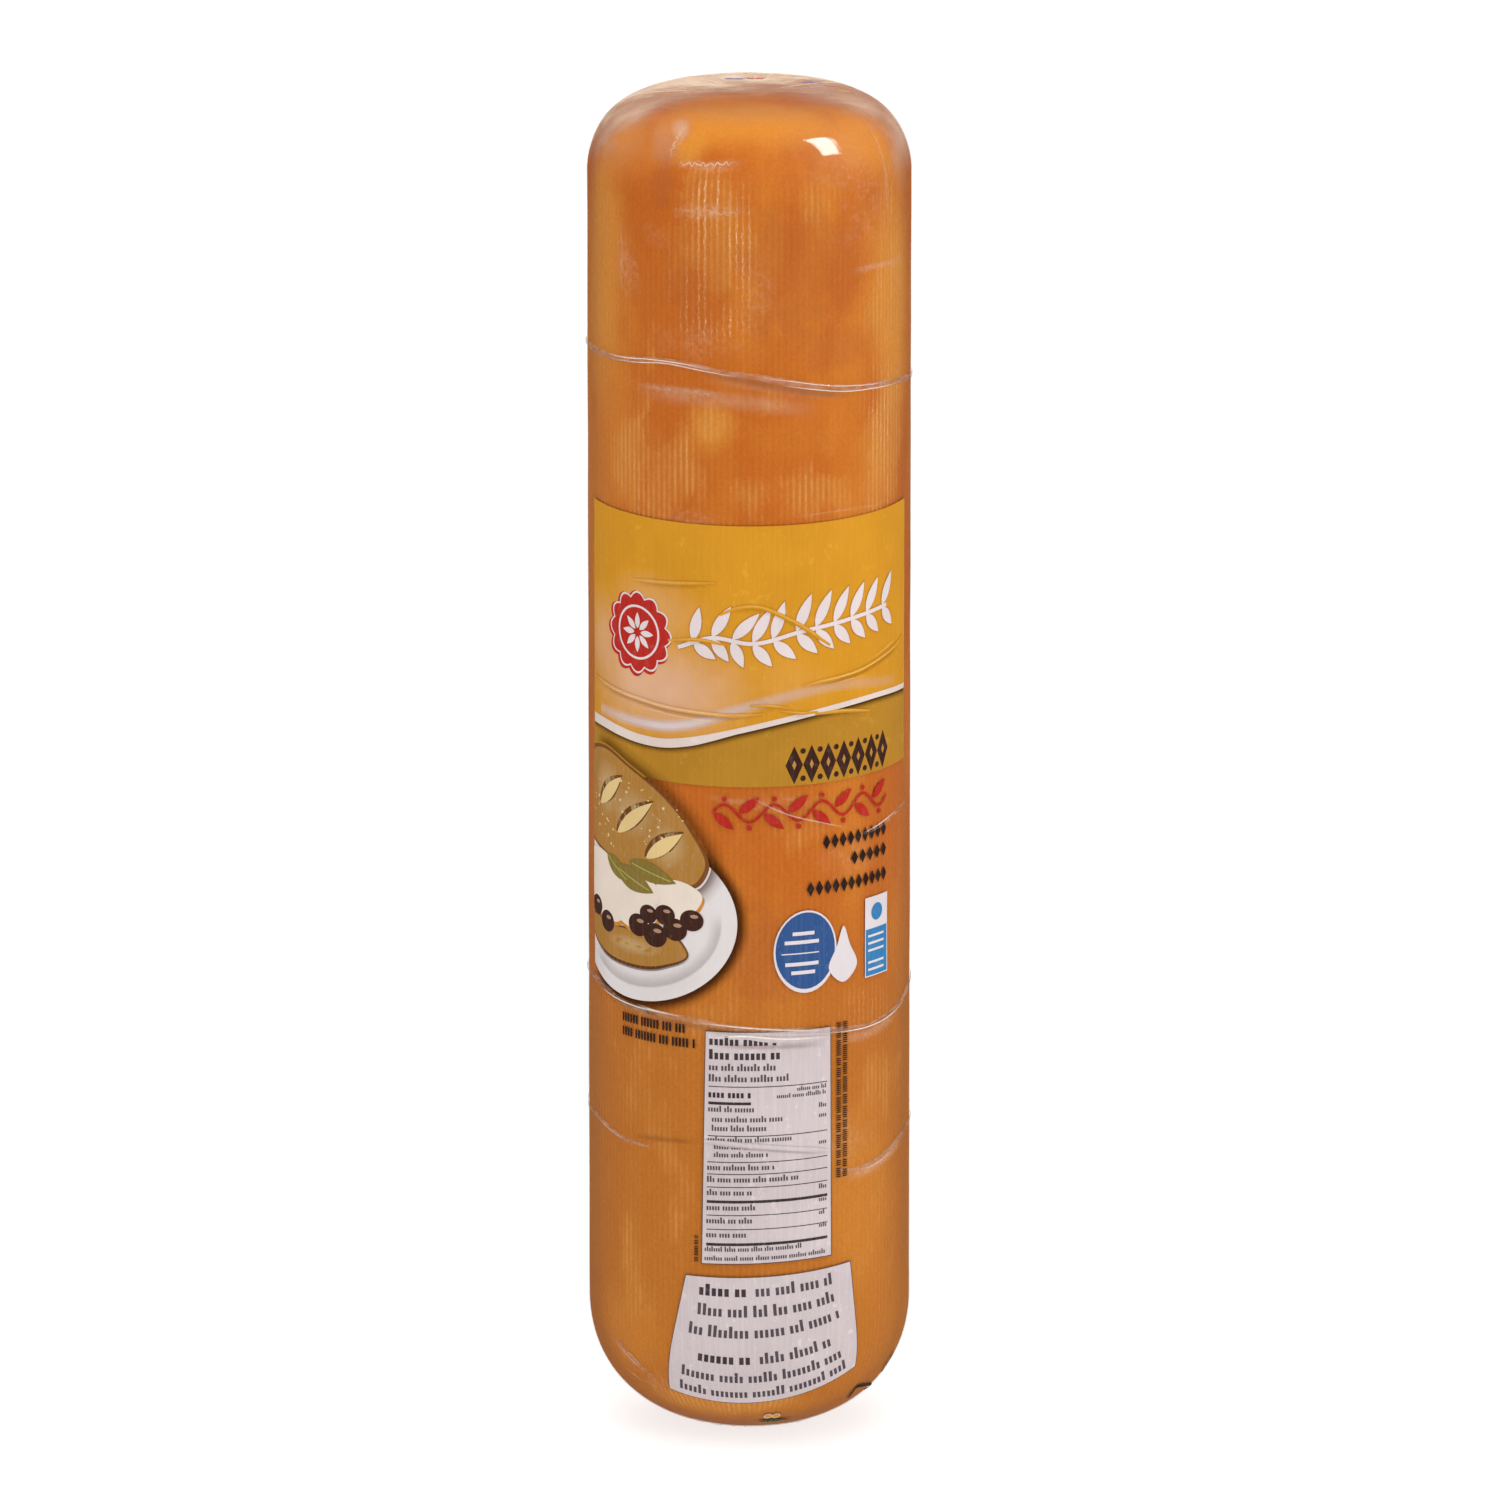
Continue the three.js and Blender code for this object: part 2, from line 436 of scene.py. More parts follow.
# Milky film on the shoulders; the small patches at the cap's left and the wide one round the key's highlight
# are painted glows
HAZE_AND_GLOW_PATCHES = (
    (630, 114, 36, 22, 0.3), (680, 129, 11, 12, 0.45), (664, 142, 16, 24, 0.22), (622, 136, 44, 32, 0.12),
    (900, 126, 15, 46, 0.55), (868, 107, 24, 12, 0.4), (850, 98, 20, 8, 0.35), (838, 145, 60, 34, 0.08),
)
PALE_GOLD_PATCHES = (
    (655, 688, 92, 54, 0.95), (650, 610, 50, 40, 0.35), (610, 650, 30, 60, 0.6), (785, 684, 50, 30, 0.1),
)
SHARP_PATCHES = ((712, 210, 44, 52, 1),)  # where the ribs start sharply below the smooth shoulder
TOP_HAZE_FRONT = 3.5  # the top's milky film starts this many mm in front of the axis
TOP_HAZE_BOW = 13  # and comes forward by this much at the sides
TOP_HAZE_LEFT = 4  # and by this much more at the left
TOP_HAZE_RISE, RIM_HAZE_RISE = (379, 395), (374, 396)  # heights from which and to which they grow
BASE_HAZE_TOP = 12
LEAST_COSINE = 0.3  # patches near the log's edges are no wider than this makes them


def ink(code):
    """A colour written as #rrggbb, as the shader wants it."""
    channels = [int(code[i:i + 2], 16) / 255 for i in (1, 3, 5)]
    linear = [c / 12.92 if c <= 0.04045 else ((c + 0.055) / 1.055) ** 2.4 for c in channels]
    return (*linear, 1)


def add_node(tree, kind, inputs=(), output=0, **settings):
    """Adds a node to a tree and gives one of its outputs. Inputs are values, numbers or colours."""
    node = tree.nodes.new("ShaderNode" + kind)
    for key, given in settings.items():
        setattr(node, key, given)
    for key, given in dict(inputs).items():
        if isinstance(given, Value):
            tree.links.new(given.socket, node.inputs[key])
        else:
            node.inputs[key].default_value = ink(given) if isinstance(given, str) else given
    return Value(tree, node.outputs[output])


class Value:
    """A value in a node tree. Sums, products and the calls below add the node for their result."""

    def __init__(self, tree, socket):
        self.tree, self.socket = tree, socket

    def math(self, operation, *others):
        return add_node(self.tree, "Math", enumerate([self, *others]), operation=operation)

    def __add__(self, other):
        return self.math("ADD", other)

    def __sub__(self, other):
        return self.math("SUBTRACT", other)

    def __rsub__(self, other):
        return add_node(self.tree, "Math", enumerate([other, self]), operation="SUBTRACT")

    def __mul__(self, other):
        return self.math("MULTIPLY", other)

    def larger(self, *others):
        largest = self
        for other in others:
            largest = largest.math("MAXIMUM", other)
        return largest

    def cosine(self):
        return self.math("COSINE")

    def step(self, low, high, to_low=0, to_high=1):
        """A smooth change from to_low to to_high as the value goes from low to high."""
        limits = enumerate([self, low, high, to_low, to_high])
        return add_node(self.tree, "MapRange", limits, interpolation_type="SMOOTHSTEP")

    def noise(self, scale, detail=2, roughness=0.5):
        inputs = {"Vector": self, "Scale": scale, "Detail": detail, "Roughness": roughness}
        return add_node(self.tree, "TexNoise", inputs)

    def stretched(self, x, y, z):
        return add_node(self.tree, "VectorMath", {0: self, 1: (x, y, z)}, operation="MULTIPLY")

    def bump(self, distance):
        return add_node(self.tree, "Bump", {"Height": self, "Distance": distance})

    def split(self):
        """Its three parts."""
        first = add_node(self.tree, "SeparateXYZ", {0: self})
        return [Value(self.tree, socket) for socket in first.socket.node.outputs]


class Graph:
    """The node tree of a new material or world."""

    def __init__(self, name, world=False):
        self.owner = (bpy.data.worlds if world else bpy.data.materials).new(name)
        self.owner.use_nodes = True
        self.tree = self.owner.node_tree
        self.tree.nodes.clear()
        self.output = self.tree.nodes.new("ShaderNodeOutput" + ("World" if world else "Material"))

    def add(self, kind, inputs=(), output=0, **settings):
        return add_node(self.tree, kind, inputs, output, **settings)

    def mix(self, share, first, second, blend="MIX"):
        inputs = {0: share, 6: first, 7: second}
        return self.add("Mix", inputs, 2, data_type="RGBA", blend_type=blend)

    def vector(self, x, y, z):
        return self.add("CombineXYZ", enumerate([x, y, z]))

    def matte(self, colour, roughness):
        """A surface without gloss."""
        return self.add("BsdfPrincipled", {"Base Color": colour, "Roughness": roughness,
                                           "Specular IOR Level": 0})

    def blend(self, share, first, second):
        return self.add("MixShader", enumerate([share, first, second]))

    def finish(self, shader):
        self.tree.links.new(shader.socket, self.output.inputs["Surface"])
        return self.owner


class LogGraph(Graph):
    """A material's tree with the angle from the front in radians, the height and the spot in mm."""

    def __init__(self, name):
        super().__init__(name)
        local = self.add("TexCoord", output="Object")
        self.spot = self.add("VectorMath", {0: local, "Scale": 1 / MM}, operation="SCALE")
        x, y, self.height = self.spot.split()
        self.angle = x.math("ARCTAN2", y * -1)

    def ragged(self, scale, reach):
        """Fine unevenness for an edge."""
        return (self.spot.noise(scale, 4, 0.6) - 0.5) * reach

    def away_on_side(self, x, y, half_width, half_height):
        """How far a place on the log's side is from a patch's middle, in shares of its half sizes."""
        angle, along = seen(x, y)
        share = LOG_RADIUS / (half_width * PIXEL / max(cos(angle), LEAST_COSINE))
        across = (self.angle - float(angle)) * share
        up = (self.height - height_of(along)) * (1 / (half_height * PIXEL))
        return (across * across + up * up).math("SQRT")

    def away_on_end(self, x, y, half_width, half_height):
        """The same on its ends."""
        middle = Vector(place(*seen(x, y), 0)) / MM
        offset = self.add("VectorMath", {0: self.spot, 1: middle}, operation="SUBTRACT")
        across, up = 1 / (half_width * PIXEL), 1 / (half_height * PIXEL)
        shares = {0: offset.stretched(across, up / 2, up)}
        return self.add("VectorMath", shares, "Value", operation="LENGTH")

    def inside(self, patches, ragged, core, rim, on_end=False):
        """How far a place is inside any of these patches, from 0 at the rim to a patch's own
        strength at the core; both are shares of its half sizes."""
        away = self.away_on_end if on_end else self.away_on_side
        masks = [(away(*patch[:4]) + ragged).step(rim, core, 0, patch[4]) for patch in patches]
        return masks[0].larger(*masks[1:])

    def film_normal(self):
        """The film's fine waves, and the faint ribs that it takes from the rind below the cap."""
        shoulder = height_of(RIB_TOP)
        ribbed = self.height.step(shoulder + 2, shoulder - RIB_FADE, 0, FILM_RIBS)
        ribs = (self.angle * RIB_COUNT).cosine() * ribbed
        return (ribs + self.spot.noise(0.12, 3, 0.55)).bump(0.00012)


def rind_material():
    """Smoked rind: deep orange and smooth where it is wet, striped by its ribs and grainy where dry."""
    graph = LogGraph("smoked_rind")
    height, spot = graph.height, graph.spot
    turn = graph.angle * RIB_COUNT
    rib_number = (turn * (1 / (2 * pi))).math("ROUND")
    rib_tone = graph.vector(rib_number * 0.73, height * 0.018, 3.7).noise(1)
    stripe = turn.cosine().step(-0.5, 1)
    wander = (spot.noise(0.5) - 0.5) * 5
    line = (turn + wander).cosine().step(0.35, 0.95)
    ragged, soft = graph.ragged(0.16, 1.6), graph.ragged(0.05, 0.8)

    # Where the film sticks to the wet rind, and where ribs stand dry under it
    wet = graph.inside(WET_PATCHES, ragged, 0.9, 1.05)
    streak = graph.inside(STREAK_PATCHES, ragged, 0.5, 1.2)
    striped = graph.inside(RIBBED_PATCHES, soft, 0.3, 1.3)
    behind = graph.angle.math("ABSOLUTE").step(1.3, 1.8, 0, 0.3)
    isle = spot.stretched(1, 1, 0.5).noise(0.06, 5, 0.62)
    dryness = isle + striped.larger(behind) * 0.3
    dry = dryness.step(0.56, 0.76, 0.1, 1) * (1 - wet)
    start = height_of(RIB_TOP)
    sharp = (height + ragged * 1.2).step(start + 0.4, start - 0.4)
    sharp = graph.inside(SHARP_PATCHES, 0, 0.8, 1) * sharp
    ribbed = height.step(start + 2, start - RIB_FADE).larger(sharp)

    drift = spot.stretched(1, 1, 0.35).noise(0.035, 3, 0.55)
    colour = graph.mix(drift.step(0.42, 0.64), RIND_DEEP, RIND_AMBER)
    colour = graph.mix(height.step(190, 110) * 0.75, colour, RIND_LOWER)
    # The cap's lighter orange is painted light from above
    for tone, *patches in ((RIND_GOLD, GOLD_PATCHES, soft, 0.3, 1.3),
                           (RIND_CAP_LIGHT, CAP_LIGHT_PATCHES, soft, 0.2, 1.4, True),
                           (RIND_BROWN, BROWN_PATCHES, ragged, 0.5, 1.2)):
        colour = graph.mix(graph.inside(*patches), colour, tone)
    colour = graph.mix(dry * ribbed * 0.35, colour, RIND_DRY)
    along_rib = spot.stretched(1, 1, 0.4).noise(0.5, 3).step(0.35, 0.6, 0.5, 1)
    strength = stripe * dry * ribbed * along_rib * rib_tone.step(0.3, 0.6, 0.2, 0.6)
    colour = graph.mix(strength, colour, RIND_STRIPE)

    # Dry grain along the crests, and dust and scuffs on the film's inside
    grain = spot.stretched(1, 1, 0.5).noise(1.7, 3, 0.65).step(0.5, 0.64)
    lit_ribs = rib_tone.step(0.34, 0.56, 0.1, 0.9) * streak
    few_ribs = rib_tone.step(0.6, 0.7) * dry * 0.25
    grained = grain.step(0, 1, 0.2, 0.9) * line * ribbed * lit_ribs.larger(few_ribs)
    colour = graph.mix(grained, colour, DRY_SPECK)
    dust = spot.noise(0.9, 5, 0.7).step(0.66, 0.78, 0, 0.3)
    colour = graph.mix(dust * height.step(8, 22), colour, DRY_SPECK)
    grit = spot.noise(1.1, 3, 0.7).step(0.3, 0.7, 0.94, 1.06)
    colour = graph.mix(1, colour, graph.vector(grit, grit, grit), "MULTIPLY")
    mottle = spot.noise(0.6, 5, 0.75).step(0.44, 0.62, 0.1, 0.8)
    bloom = graph.inside(BLOOM_PATCHES, ragged * 1.4, 0.2, 1.3)
    colour = graph.mix(bloom * mottle, colour, BLOOM)
    return graph.finish(graph.add("BsdfPrincipled", {
        "Base Color": colour,
        "Roughness": wet.step(0, 1, 0.55, 0.35),
        "Normal": (stripe * dry * 0.4 + grain * 0.5).bump(0.00006),
        "Specular IOR Level": 0.05,
    }))


def film_material(name, look, layers):
    """Clear film with a gloss; look(graph) gives its milkiness and the colour of the milk, and each
    of its layers adds to the gloss."""
    graph = LogGraph(name)
    haze, milk = look(graph)
    body = graph.blend(haze, graph.add("BsdfTransparent"), graph.matte(milk, 0.5))
    normal = graph.film_normal()
    outside = 1 - graph.add("NewGeometry", output="Backfacing")
    mirror = graph.add("Fresnel", {"IOR": FILM_IOR, "Normal": normal})
    glancing = (mirror * outside * layers).math("MINIMUM", GLANCING_LIMIT)
    gloss = graph.add("BsdfGlossy", {"Roughness": FILM_ROUGHNESS, "Normal": normal})
    return graph.finish(graph.blend(glancing, body, gloss))


def end_look(graph):
    """Shrunk film turns milky where it bunches on the ends, most of all behind the top's front, and carries
    painted glows on the shoulder.
    """
    height = graph.height
    across, back, _ = graph.spot.split()
    fray = graph.spot.stretched(0.5, 1, 1).noise(0.14, 4, 0.65)
    ragged = (fray - 0.5) * 16
    bow = across.math("ABSOLUTE").step(5, 32, 0, TOP_HAZE_BOW)
    left = across.step(-22, -32, 0, TOP_HAZE_LEFT)
    edge = back + bow + left + ragged * 0.7 + TOP_HAZE_FRONT
    top = edge.step(-6, 10) * (height + ragged).step(*TOP_HAZE_RISE)
    base = height.step(BASE_HAZE_TOP, 1, 0, 0.2)
    # Milky film on the shoulders, with painted glows at the cap's left and round the key's highlight
    shoulder = graph.inside(HAZE_AND_GLOW_PATCHES, ragged * 0.06, 0.2, 1.4, on_end=True)
    rim = (back + across * -0.3 + ragged).step(3, 20)
    haze = (top * rim.step(0, 1, 0.66, 0.95)).larger(shoulder, base)
    pale = (rim * height.step(*RIM_HAZE_RISE)).larger(shoulder * 1.6)
    return haze * fray.step(0.35, 0.7, 0.65, 1), graph.mix(pale, TOP_MILK, RIM_MILK)


def fold_look(graph):
    haze = graph.spot.stretched(1, 1, 3).noise(0.3, 3, 0.6).step(0.35, 0.65, 0.06, 0.3)
    return haze, FOLD_MILK


def print_material(name, colour, marks=0.35, sheer=0, flecks=FLECK_WHITE, pale=None):
    """Flat ink on glossy film, with faint rib lines and blotches. A sheer ink has no gloss and
    fades by its sheet; pale is a second colour for patches where the print is washed out."""
    graph = LogGraph(name)
    angle, height, spot = graph.angle, graph.height, graph.spot
    if pale:
        washed = graph.inside(PALE_GOLD_PATCHES, graph.ragged(0.05, 0.7), 0.1, 1.2)
        colour = graph.mix(washed, colour, pale)
    ribs = (angle * RIB_COUNT).cosine().step(-0.6, 1)
    long_marks = graph.vector(angle * 60, height * 0.05, 0).noise(1)
    blotch = spot.noise(0.22, 4, 0.62).step(0.6, 0.72, 0, 0.9)
    bands = (ribs * 0.12 + 0.2) * long_marks.step(0.4, 0.65)
    specks = spot.stretched(1, 1, 0.6).noise(0.8, 3, 0.65).step(0.56, 0.74, 0, 0.8)
    colour = graph.mix(bands.larger(blotch, specks) * marks, colour, flecks)
    dark = spot.noise(0.05, 3).step(0.35, 0.65, 0, 0.1)
    colour = graph.mix(dark, colour, PRINT_SHADE, "MULTIPLY")
    if not sheer:
        return graph.finish(graph.add("BsdfPrincipled", {
            "Base Color": colour, "Roughness": PRINT_ROUGHNESS, "IOR": FILM_IOR,
            "Normal": graph.film_normal()}))
    fray = spot.noise(0.8, 4, 0.7).step(0.3, 0.62, 1 - marks, 1)
    fade = graph.add("Attribute", output="Fac", attribute_name="fade") * fray * sheer
    return graph.finish(graph.blend(fade, graph.add("BsdfTransparent"), graph.matte(colour, 0.45)))


# ---------------- the cheese and its film
def add_log():
    cheese = skin_mesh("cheese_log", CHEESE_MESH, rind_relief, rind_material())
    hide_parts(NODE)


def add_film():
    material = film_material("shrink_film", end_look, 1.6)
    wrap = skin_mesh("shrink_film", FILM_MESH, film_relief, material)
    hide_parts(NODE)


# ---------------- folds in the film
# Offsets across a fold in half widths, and its rise at each. A fold has a sharp crest and a lower
# one below it, and a ridge has one soft crest.
FOLD = ((-1, -0.8, -0.62, -0.45, -0.3, -0.1, 0.15, 0.35, 0.52, 0.7, 1),
        (0, 0.25, 0.85, 0.85, 0.35, 0.25, 0.4, 1, 1, 0.3, 0))
RIDGE = ((-1, -0.6, -0.25, -0.08, 0.08, 0.25, 0.6, 1), (0, 0.2, 0.75, 1, 1, 0.75, 0.2, 0))
RIDGE_ACROSS, RIDGE_RISE = (np.array(values) for values in RIDGE)
# Offsets across a soft line in half widths, and how strong it is at each
SOFT = ((-1, -0.7, -0.35, 0, 0.35, 0.7, 1), (0, 0.25, 0.75, 1, 0.75, 0.25, 0))

UPPER_CREASE = (
    (588, 343), (600, 352), (617, 358), (640, 360), (660, 361), (690, 366), (720, 373),
    (750, 377), (780, 381), (812, 386), (845, 388), (870, 386), (890, 382), (906, 378),
)
MIDDLE_CREASE = (
    (590, 970), (604, 985), (620, 1000), (635, 1007), (670, 1016), (700, 1022), (720, 1026),
    (750, 1030), (790, 1031), (835, 1030), (870, 1025), (890, 1013), (902, 1000), (908, 985),
)
LOWER_CREASE_LEFT = ((589, 1104), (600, 1118), (615, 1133), (635, 1143), (650, 1147))
LOWER_CREASE_RIGHT = ((838, 1170), (860, 1168), (880, 1158), (897, 1140), (907, 1124))
SMALL_CREASES = (
    ((618, 1340), (630, 1355), (645, 1370), (655, 1378)), ((855, 838), (870, 831), (885, 822), (905, 800)),
)
# Soft pale scuffs in the film, and soft painted highlights on its creases and shoulder: a path, its half
# width in mm and its strength
SCUFFS_AND_SHEENS = (
    (((632, 384), (665, 389), (700, 393), (735, 398)), 1.5, 0.85),
    (((630, 388), (690, 397), (760, 404), (830, 412)), 3.6, 0.5),
    (((690, 376), (725, 382), (765, 388), (812, 394), (860, 392)), 2, 0.35),
    (((848, 272), (880, 265), (904, 259)), 1.5, 0.6),
    (((600, 985), (640, 1012), (700, 1029), (740, 1034)), 1.2, 0.3),
    (((830, 1040), (870, 1033), (900, 1008)), 2.2, 0.7),
    (((838, 1176), (860, 1173), (880, 1162), (905, 1130)), 2.4, 0.8),
    (((606, 1325), (622, 1350), (645, 1376)), 1.8, 0.3),
    (((690, 114), (682, 132), (674, 148), (670, 164)), 2.4, 0.45),
    (((676, 156), (700, 164), (730, 163), (752, 160)), 2, 0.3),
    (((700, 795), (730, 801), (770, 803)), 1.4, 0.35),
    (((780, 518), (845, 510), (893, 501)), 0.4, 0.45),
    (((846, 842), (858, 838), (872, 831)), 1, 0.6),
    (((850, 108), (868, 124), (880, 148), (887, 185), (889, 225)), 0.9, 0.5),
    (((836, 97), (860, 108), (880, 126), (892, 150)), 1.4, 0.4),
    (((604, 128), (618, 110), (640, 98), (668, 92)), 1.5, 0.4),
    (((620, 135), (634, 118), (658, 106), (690, 101)), 1.2, 0.35),
    (((618, 210), (622, 250), (619, 300)), 0.8, 0.3),
)
# The same on the top, in mm to the right of the axis and behind it
TOP_SCUFFS = (
    (((-34, 12), (-26, 18), (-16, 21), (-6, 22)), 2.8, 0.9),
    (((30, 10), (22, 19), (8, 24)), 2, 0.5),
)
# Fine white painted highlights along the folds, in the same way
GLINTS = (
    (((604, 351), (625, 357), (650, 359), (680, 363), (720, 371)), 0.22, 0.95),
    (((612, 358), (640, 362), (665, 363), (700, 370), (750, 379)), 0.2, 0.85),
    (((745, 375), (790, 381), (830, 385.5), (860, 385), (892, 380)), 0.2, 0.75),
    (((770, 383), (812, 389), (845, 391), (872, 388), (900, 381)), 0.22, 0.95),
    (((600, 984), (622, 1000), (640, 1007), (662, 1012), (690, 1018)), 0.3, 0.9),
    (((690, 1021), (720, 1025), (750, 1028), (790, 1030), (835, 1029)), 0.35, 0.8),
    (((822, 1033), (845, 1031), (868, 1026), (890, 1014), (903, 998)), 0.28, 0.9),
    (((800, 718), (830, 712)), 0.15, 0.5),
    (((596, 1112), (612, 1130), (632, 1142)), 0.2, 0.4),
    (((848, 1171), (872, 1165), (894, 1146)), 0.2, 0.5),
    (((860, 834), (878, 824), (896, 808)), 0.3, 0.8),
    (((748, 795), (768, 806), (790, 815), (820, 822), (850, 828)), 0.3, 0.4),
    (((614, 1336), (627, 1353), (642, 1368), (650, 1375)), 0.3, 0.45),
    (((636, 1003), (648, 1008), (672, 1014)), 0.5, 1),
    (((706, 1038), (740, 1036), (785, 1039), (830, 1036)), 0.45, 1),
    (((622, 1362), (638, 1376), (656, 1385)), 0.25, 0.3),
)
# Soft shade beside the folds, in the same way
SHADES = (
    (((700, 374), (750, 383), (812, 393), (860, 394)), 1.5, 0.4),
    (((628, 1134), (660, 1139), (704, 1142)), 1.3, 0.4),
    (((704, 1142), (760, 1148), (830, 1151)), 1.3, 0.4),
    (((706, 1044), (770, 1047), (830, 1043)), 1.1, 0.4),
    (((640, 1012), (700, 1028), (760, 1035)), 1.2, 0.35),
)
# The wriggling pale rim of the wet patch on the shoulder, in the same way
FRINGES = (
    (((685, 122), (678, 136), (672, 149), (669, 162)), 0.4, 0.8),
    (((672, 163), (690, 164), (716, 164), (742, 162)), 0.35, 0.7),
    (((689, 126), (682, 140), (677, 154)), 0.35, 0.35),
    (((690, 207), (706, 211), (726, 214), (744, 212)), 0.4, 0.35),
)
FRINGE_WANDER = 0.7  # how far they wriggle to each side, in mm
GATHERS = 26
GATHER_HALF_WIDTH = 1.6
GATHER_ENDS = ((SKIN_END - 9, SKIN_END - 34), (8, 24))  # ways along the skin, top and base
SEAL_BACK = 23  # the heat seal runs across the top this far behind the axis
SEAL_HALF_LENGTH = 31
SEAL_HALF_WIDTH, SEAL_RISE = 2, 0.3


def round_the_back(ridge, first, last):
    """Flat places of a ridge behind the log, every 30 degrees between these angles."""
    height, cosine, sine, cosine2 = ridge
    barrel_foot = BARREL_START - height_of(BARREL_START)
    places = []
    for angle in (radians(degrees) for degrees in range(first, last + 1, 30)):
        rise = cosine * cos(angle) + sine * sin(angle) + cosine2 * cos(2 * angle)
        places.append((angle * LOG_RADIUS, height + rise + barrel_foot))
    return places


def closed_crease(front, ridge):
    """A crease that follows the picture at the front and its ridge behind, and meets itself."""
    front = film(front)
    start = front[0] + (2 * pi * LOG_RADIUS, 0)
    return smooth_path([*front, *round_the_back(ridge, 120, 240), start], 0.8)


def add_fold(sheet, path, half_width, rise, reach=8, section=FOLD, tight=0):
    """A fold of the film along a path. tight is the share of its height that comes and goes."""
    run = run_of(path)
    uneven = 1 - tight + tight * np.sin(run / 9) * np.sin(run / 23 + 1)
    swell = rise * tapered(path, reach) * uneven
    width = half_width * (0.5 + 0.5 * tapered(path, reach))
    sheet.strip(path, *section, swell=swell, width=width)


def on_film(marks):
    """Marks that start with a path of picture points, with flat places instead."""
    return [(film(points), *rest) for points, *rest in marks]


def add_soft_lines(name, look, lift, marks, wander=0):
    """Lines that fade out to their edges and ends: flat places, half width and strength of each.
    wander is how far they wriggle to each side, in mm."""
    sheet = Sheet(name, look, slot="shrink_film", base=lift)
    across, fades = SOFT
    for places, half_width, strength in marks:
        path = smooth_path(places, 0.3 if wander else 1)
        if wander:
            run = run_of(path)
            path = beside(path, wander * (0.6 * np.sin(2.6 * run) + 0.4 * np.sin(4.3 * run + 1)))
        swell = strength * tapered(path, max(9, 0.3 * run_of(path)[-1]))
        sheet.strip(path, half_width * np.array(across), fades=fades, swell=swell)


def add_film_folds():
    material = film_material("film_folds", fold_look, 3)
    folds = Sheet("film_folds", material, slot="shrink_film", base=0)
    add_fold(folds, closed_crease(UPPER_CREASE, UPPER_RIDGE), 1, 0.38, 4, tight=0.15)
    add_fold(folds, closed_crease(MIDDLE_CREASE, MIDDLE_RIDGE), 0.95, 0.36, 4, tight=0.15)
    back = round_the_back(LOWER_RIDGE, 90, 270)
    left = film(LOWER_CREASE_LEFT) + (2 * pi * LOG_RADIUS, 0)
    lower = smooth_path([*film(LOWER_CREASE_RIGHT), *back[1:-1], *left], 0.8)
    add_fold(folds, lower, 0.7, 0.26, 12, tight=0.3)
    for points in SMALL_CREASES:
        add_fold(folds, seen_path(points), 0.7, 0.25, tight=0.3)
    add_end_gathers()
    top = [(top_place(*np.array(points, float).T), *rest) for points, *rest in TOP_SCUFFS]
    # Pale scuffs, with painted highlights on the creases and the shoulder
    add_soft_lines("film_scuffs_and_sheens", ("#f2bf94", 0.6, 0.6, "#fad6b4"), -0.12, on_film(SCUFFS_AND_SHEENS) + top)
    rim = ("#ffdcb6", 0.5, 0.9, "#ffe4c4")
    add_soft_lines("film_fringes", rim, -0.08, on_film(FRINGES), FRINGE_WANDER)
    # Painted highlights along the folds
    add_soft_lines("film_glints", ("#fff6ea", 0.25, 0.9), 0.5, on_film(GLINTS))
    add_soft_lines("film_shades", ("#6a4030", 0, 0.6), 0.3, on_film(SHADES))


def add_end_gathers():
    """Puckers of the shrunk bag on both ends, and its heat seal folded down across the top."""
    gathers = Sheet("film_gathers", ("#f3d9c2", 0.3, 0.5), slot="shrink_film", base=0)
    chance = random.Random(7)
    for i in range(GATHERS):
        angle = 2 * pi * (i + chance.uniform(-0.3, 0.3)) / GATHERS
        for inner, outer in GATHER_ENDS:
            if inner > LOG_LENGTH / 2 and cos(angle) > -0.1:
                continue
            start, end = inner + chance.uniform(-5, 5), outer + chance.uniform(-8, 8)
            around = angle * LOG_RADIUS
            bend = (around + chance.uniform(-3, 3), (start + end) / 2)
            path = smooth_path([(around, start), bend, (around, end)], 1.2)
            rises = chance.uniform(0.15, 0.4) * RIDGE_RISE
            gathers.strip(path, GATHER_HALF_WIDTH * RIDGE_ACROSS, rises, RIDGE_RISE, tapered(path, 10))
    along = np.linspace(-SEAL_HALF_LENGTH, SEAL_HALF_LENGTH, 60)
    seal = top_place(along, SEAL_BACK + 2.5 * np.cos(along / SEAL_HALF_LENGTH * 2.2))
    gathers.strip(seal, SEAL_HALF_WIDTH * RIDGE_ACROSS, SEAL_RISE * RIDGE_RISE, RIDGE_RISE,
                  tapered(seal, 6))


# ---------------- flat shapes
def ellipse(centre, half_width, half_height, count=36):
    """Points round a centre; its half width and half height may change from point to point."""
    turn = np.arange(count) * 2 * pi / count
    return np.stack([centre[0] + half_width * np.cos(turn), centre[1] + half_height * np.sin(turn)], 1)


def scallops(centre, radius):
    count = SEAL_SCALLOPS * 10
    turn = np.arange(count) * 2 * pi / count
    reach = radius - SCALLOP_DEPTH + SCALLOP_DEPTH * abs(np.cos(turn * SEAL_SCALLOPS / 2))
    return ellipse(centre, reach, reach, count)


def leaf(base, tip, half_width, count=9):
    """A pointed leaf from its base to its tip."""
    base, tip = np.asarray(base, float), np.asarray(tip, float)
    t = np.linspace(0, 1, count)
    spine = base + (tip - base) * t[:, None]
    swell = half_width * np.sin(pi * t ** 0.85) ** 0.9
    return np.concatenate([beside(spine, -swell), beside(spine, swell)[-2:0:-1]])


def lozenge(centre, half_width, half_height):
    corners = ((1, 0), (0, 1), (-1, 0), (0, -1))
    return [(centre[0] + x * half_width, centre[1] + y * half_height) for x, y in corners]


def rectangle(left, low, right, top):
    return straight_path([(left, low), (right, low), (right, top), (left, top), (left, low)])[:-1]


def direction(angle):
    return np.array([cos(angle), sin(angle)])


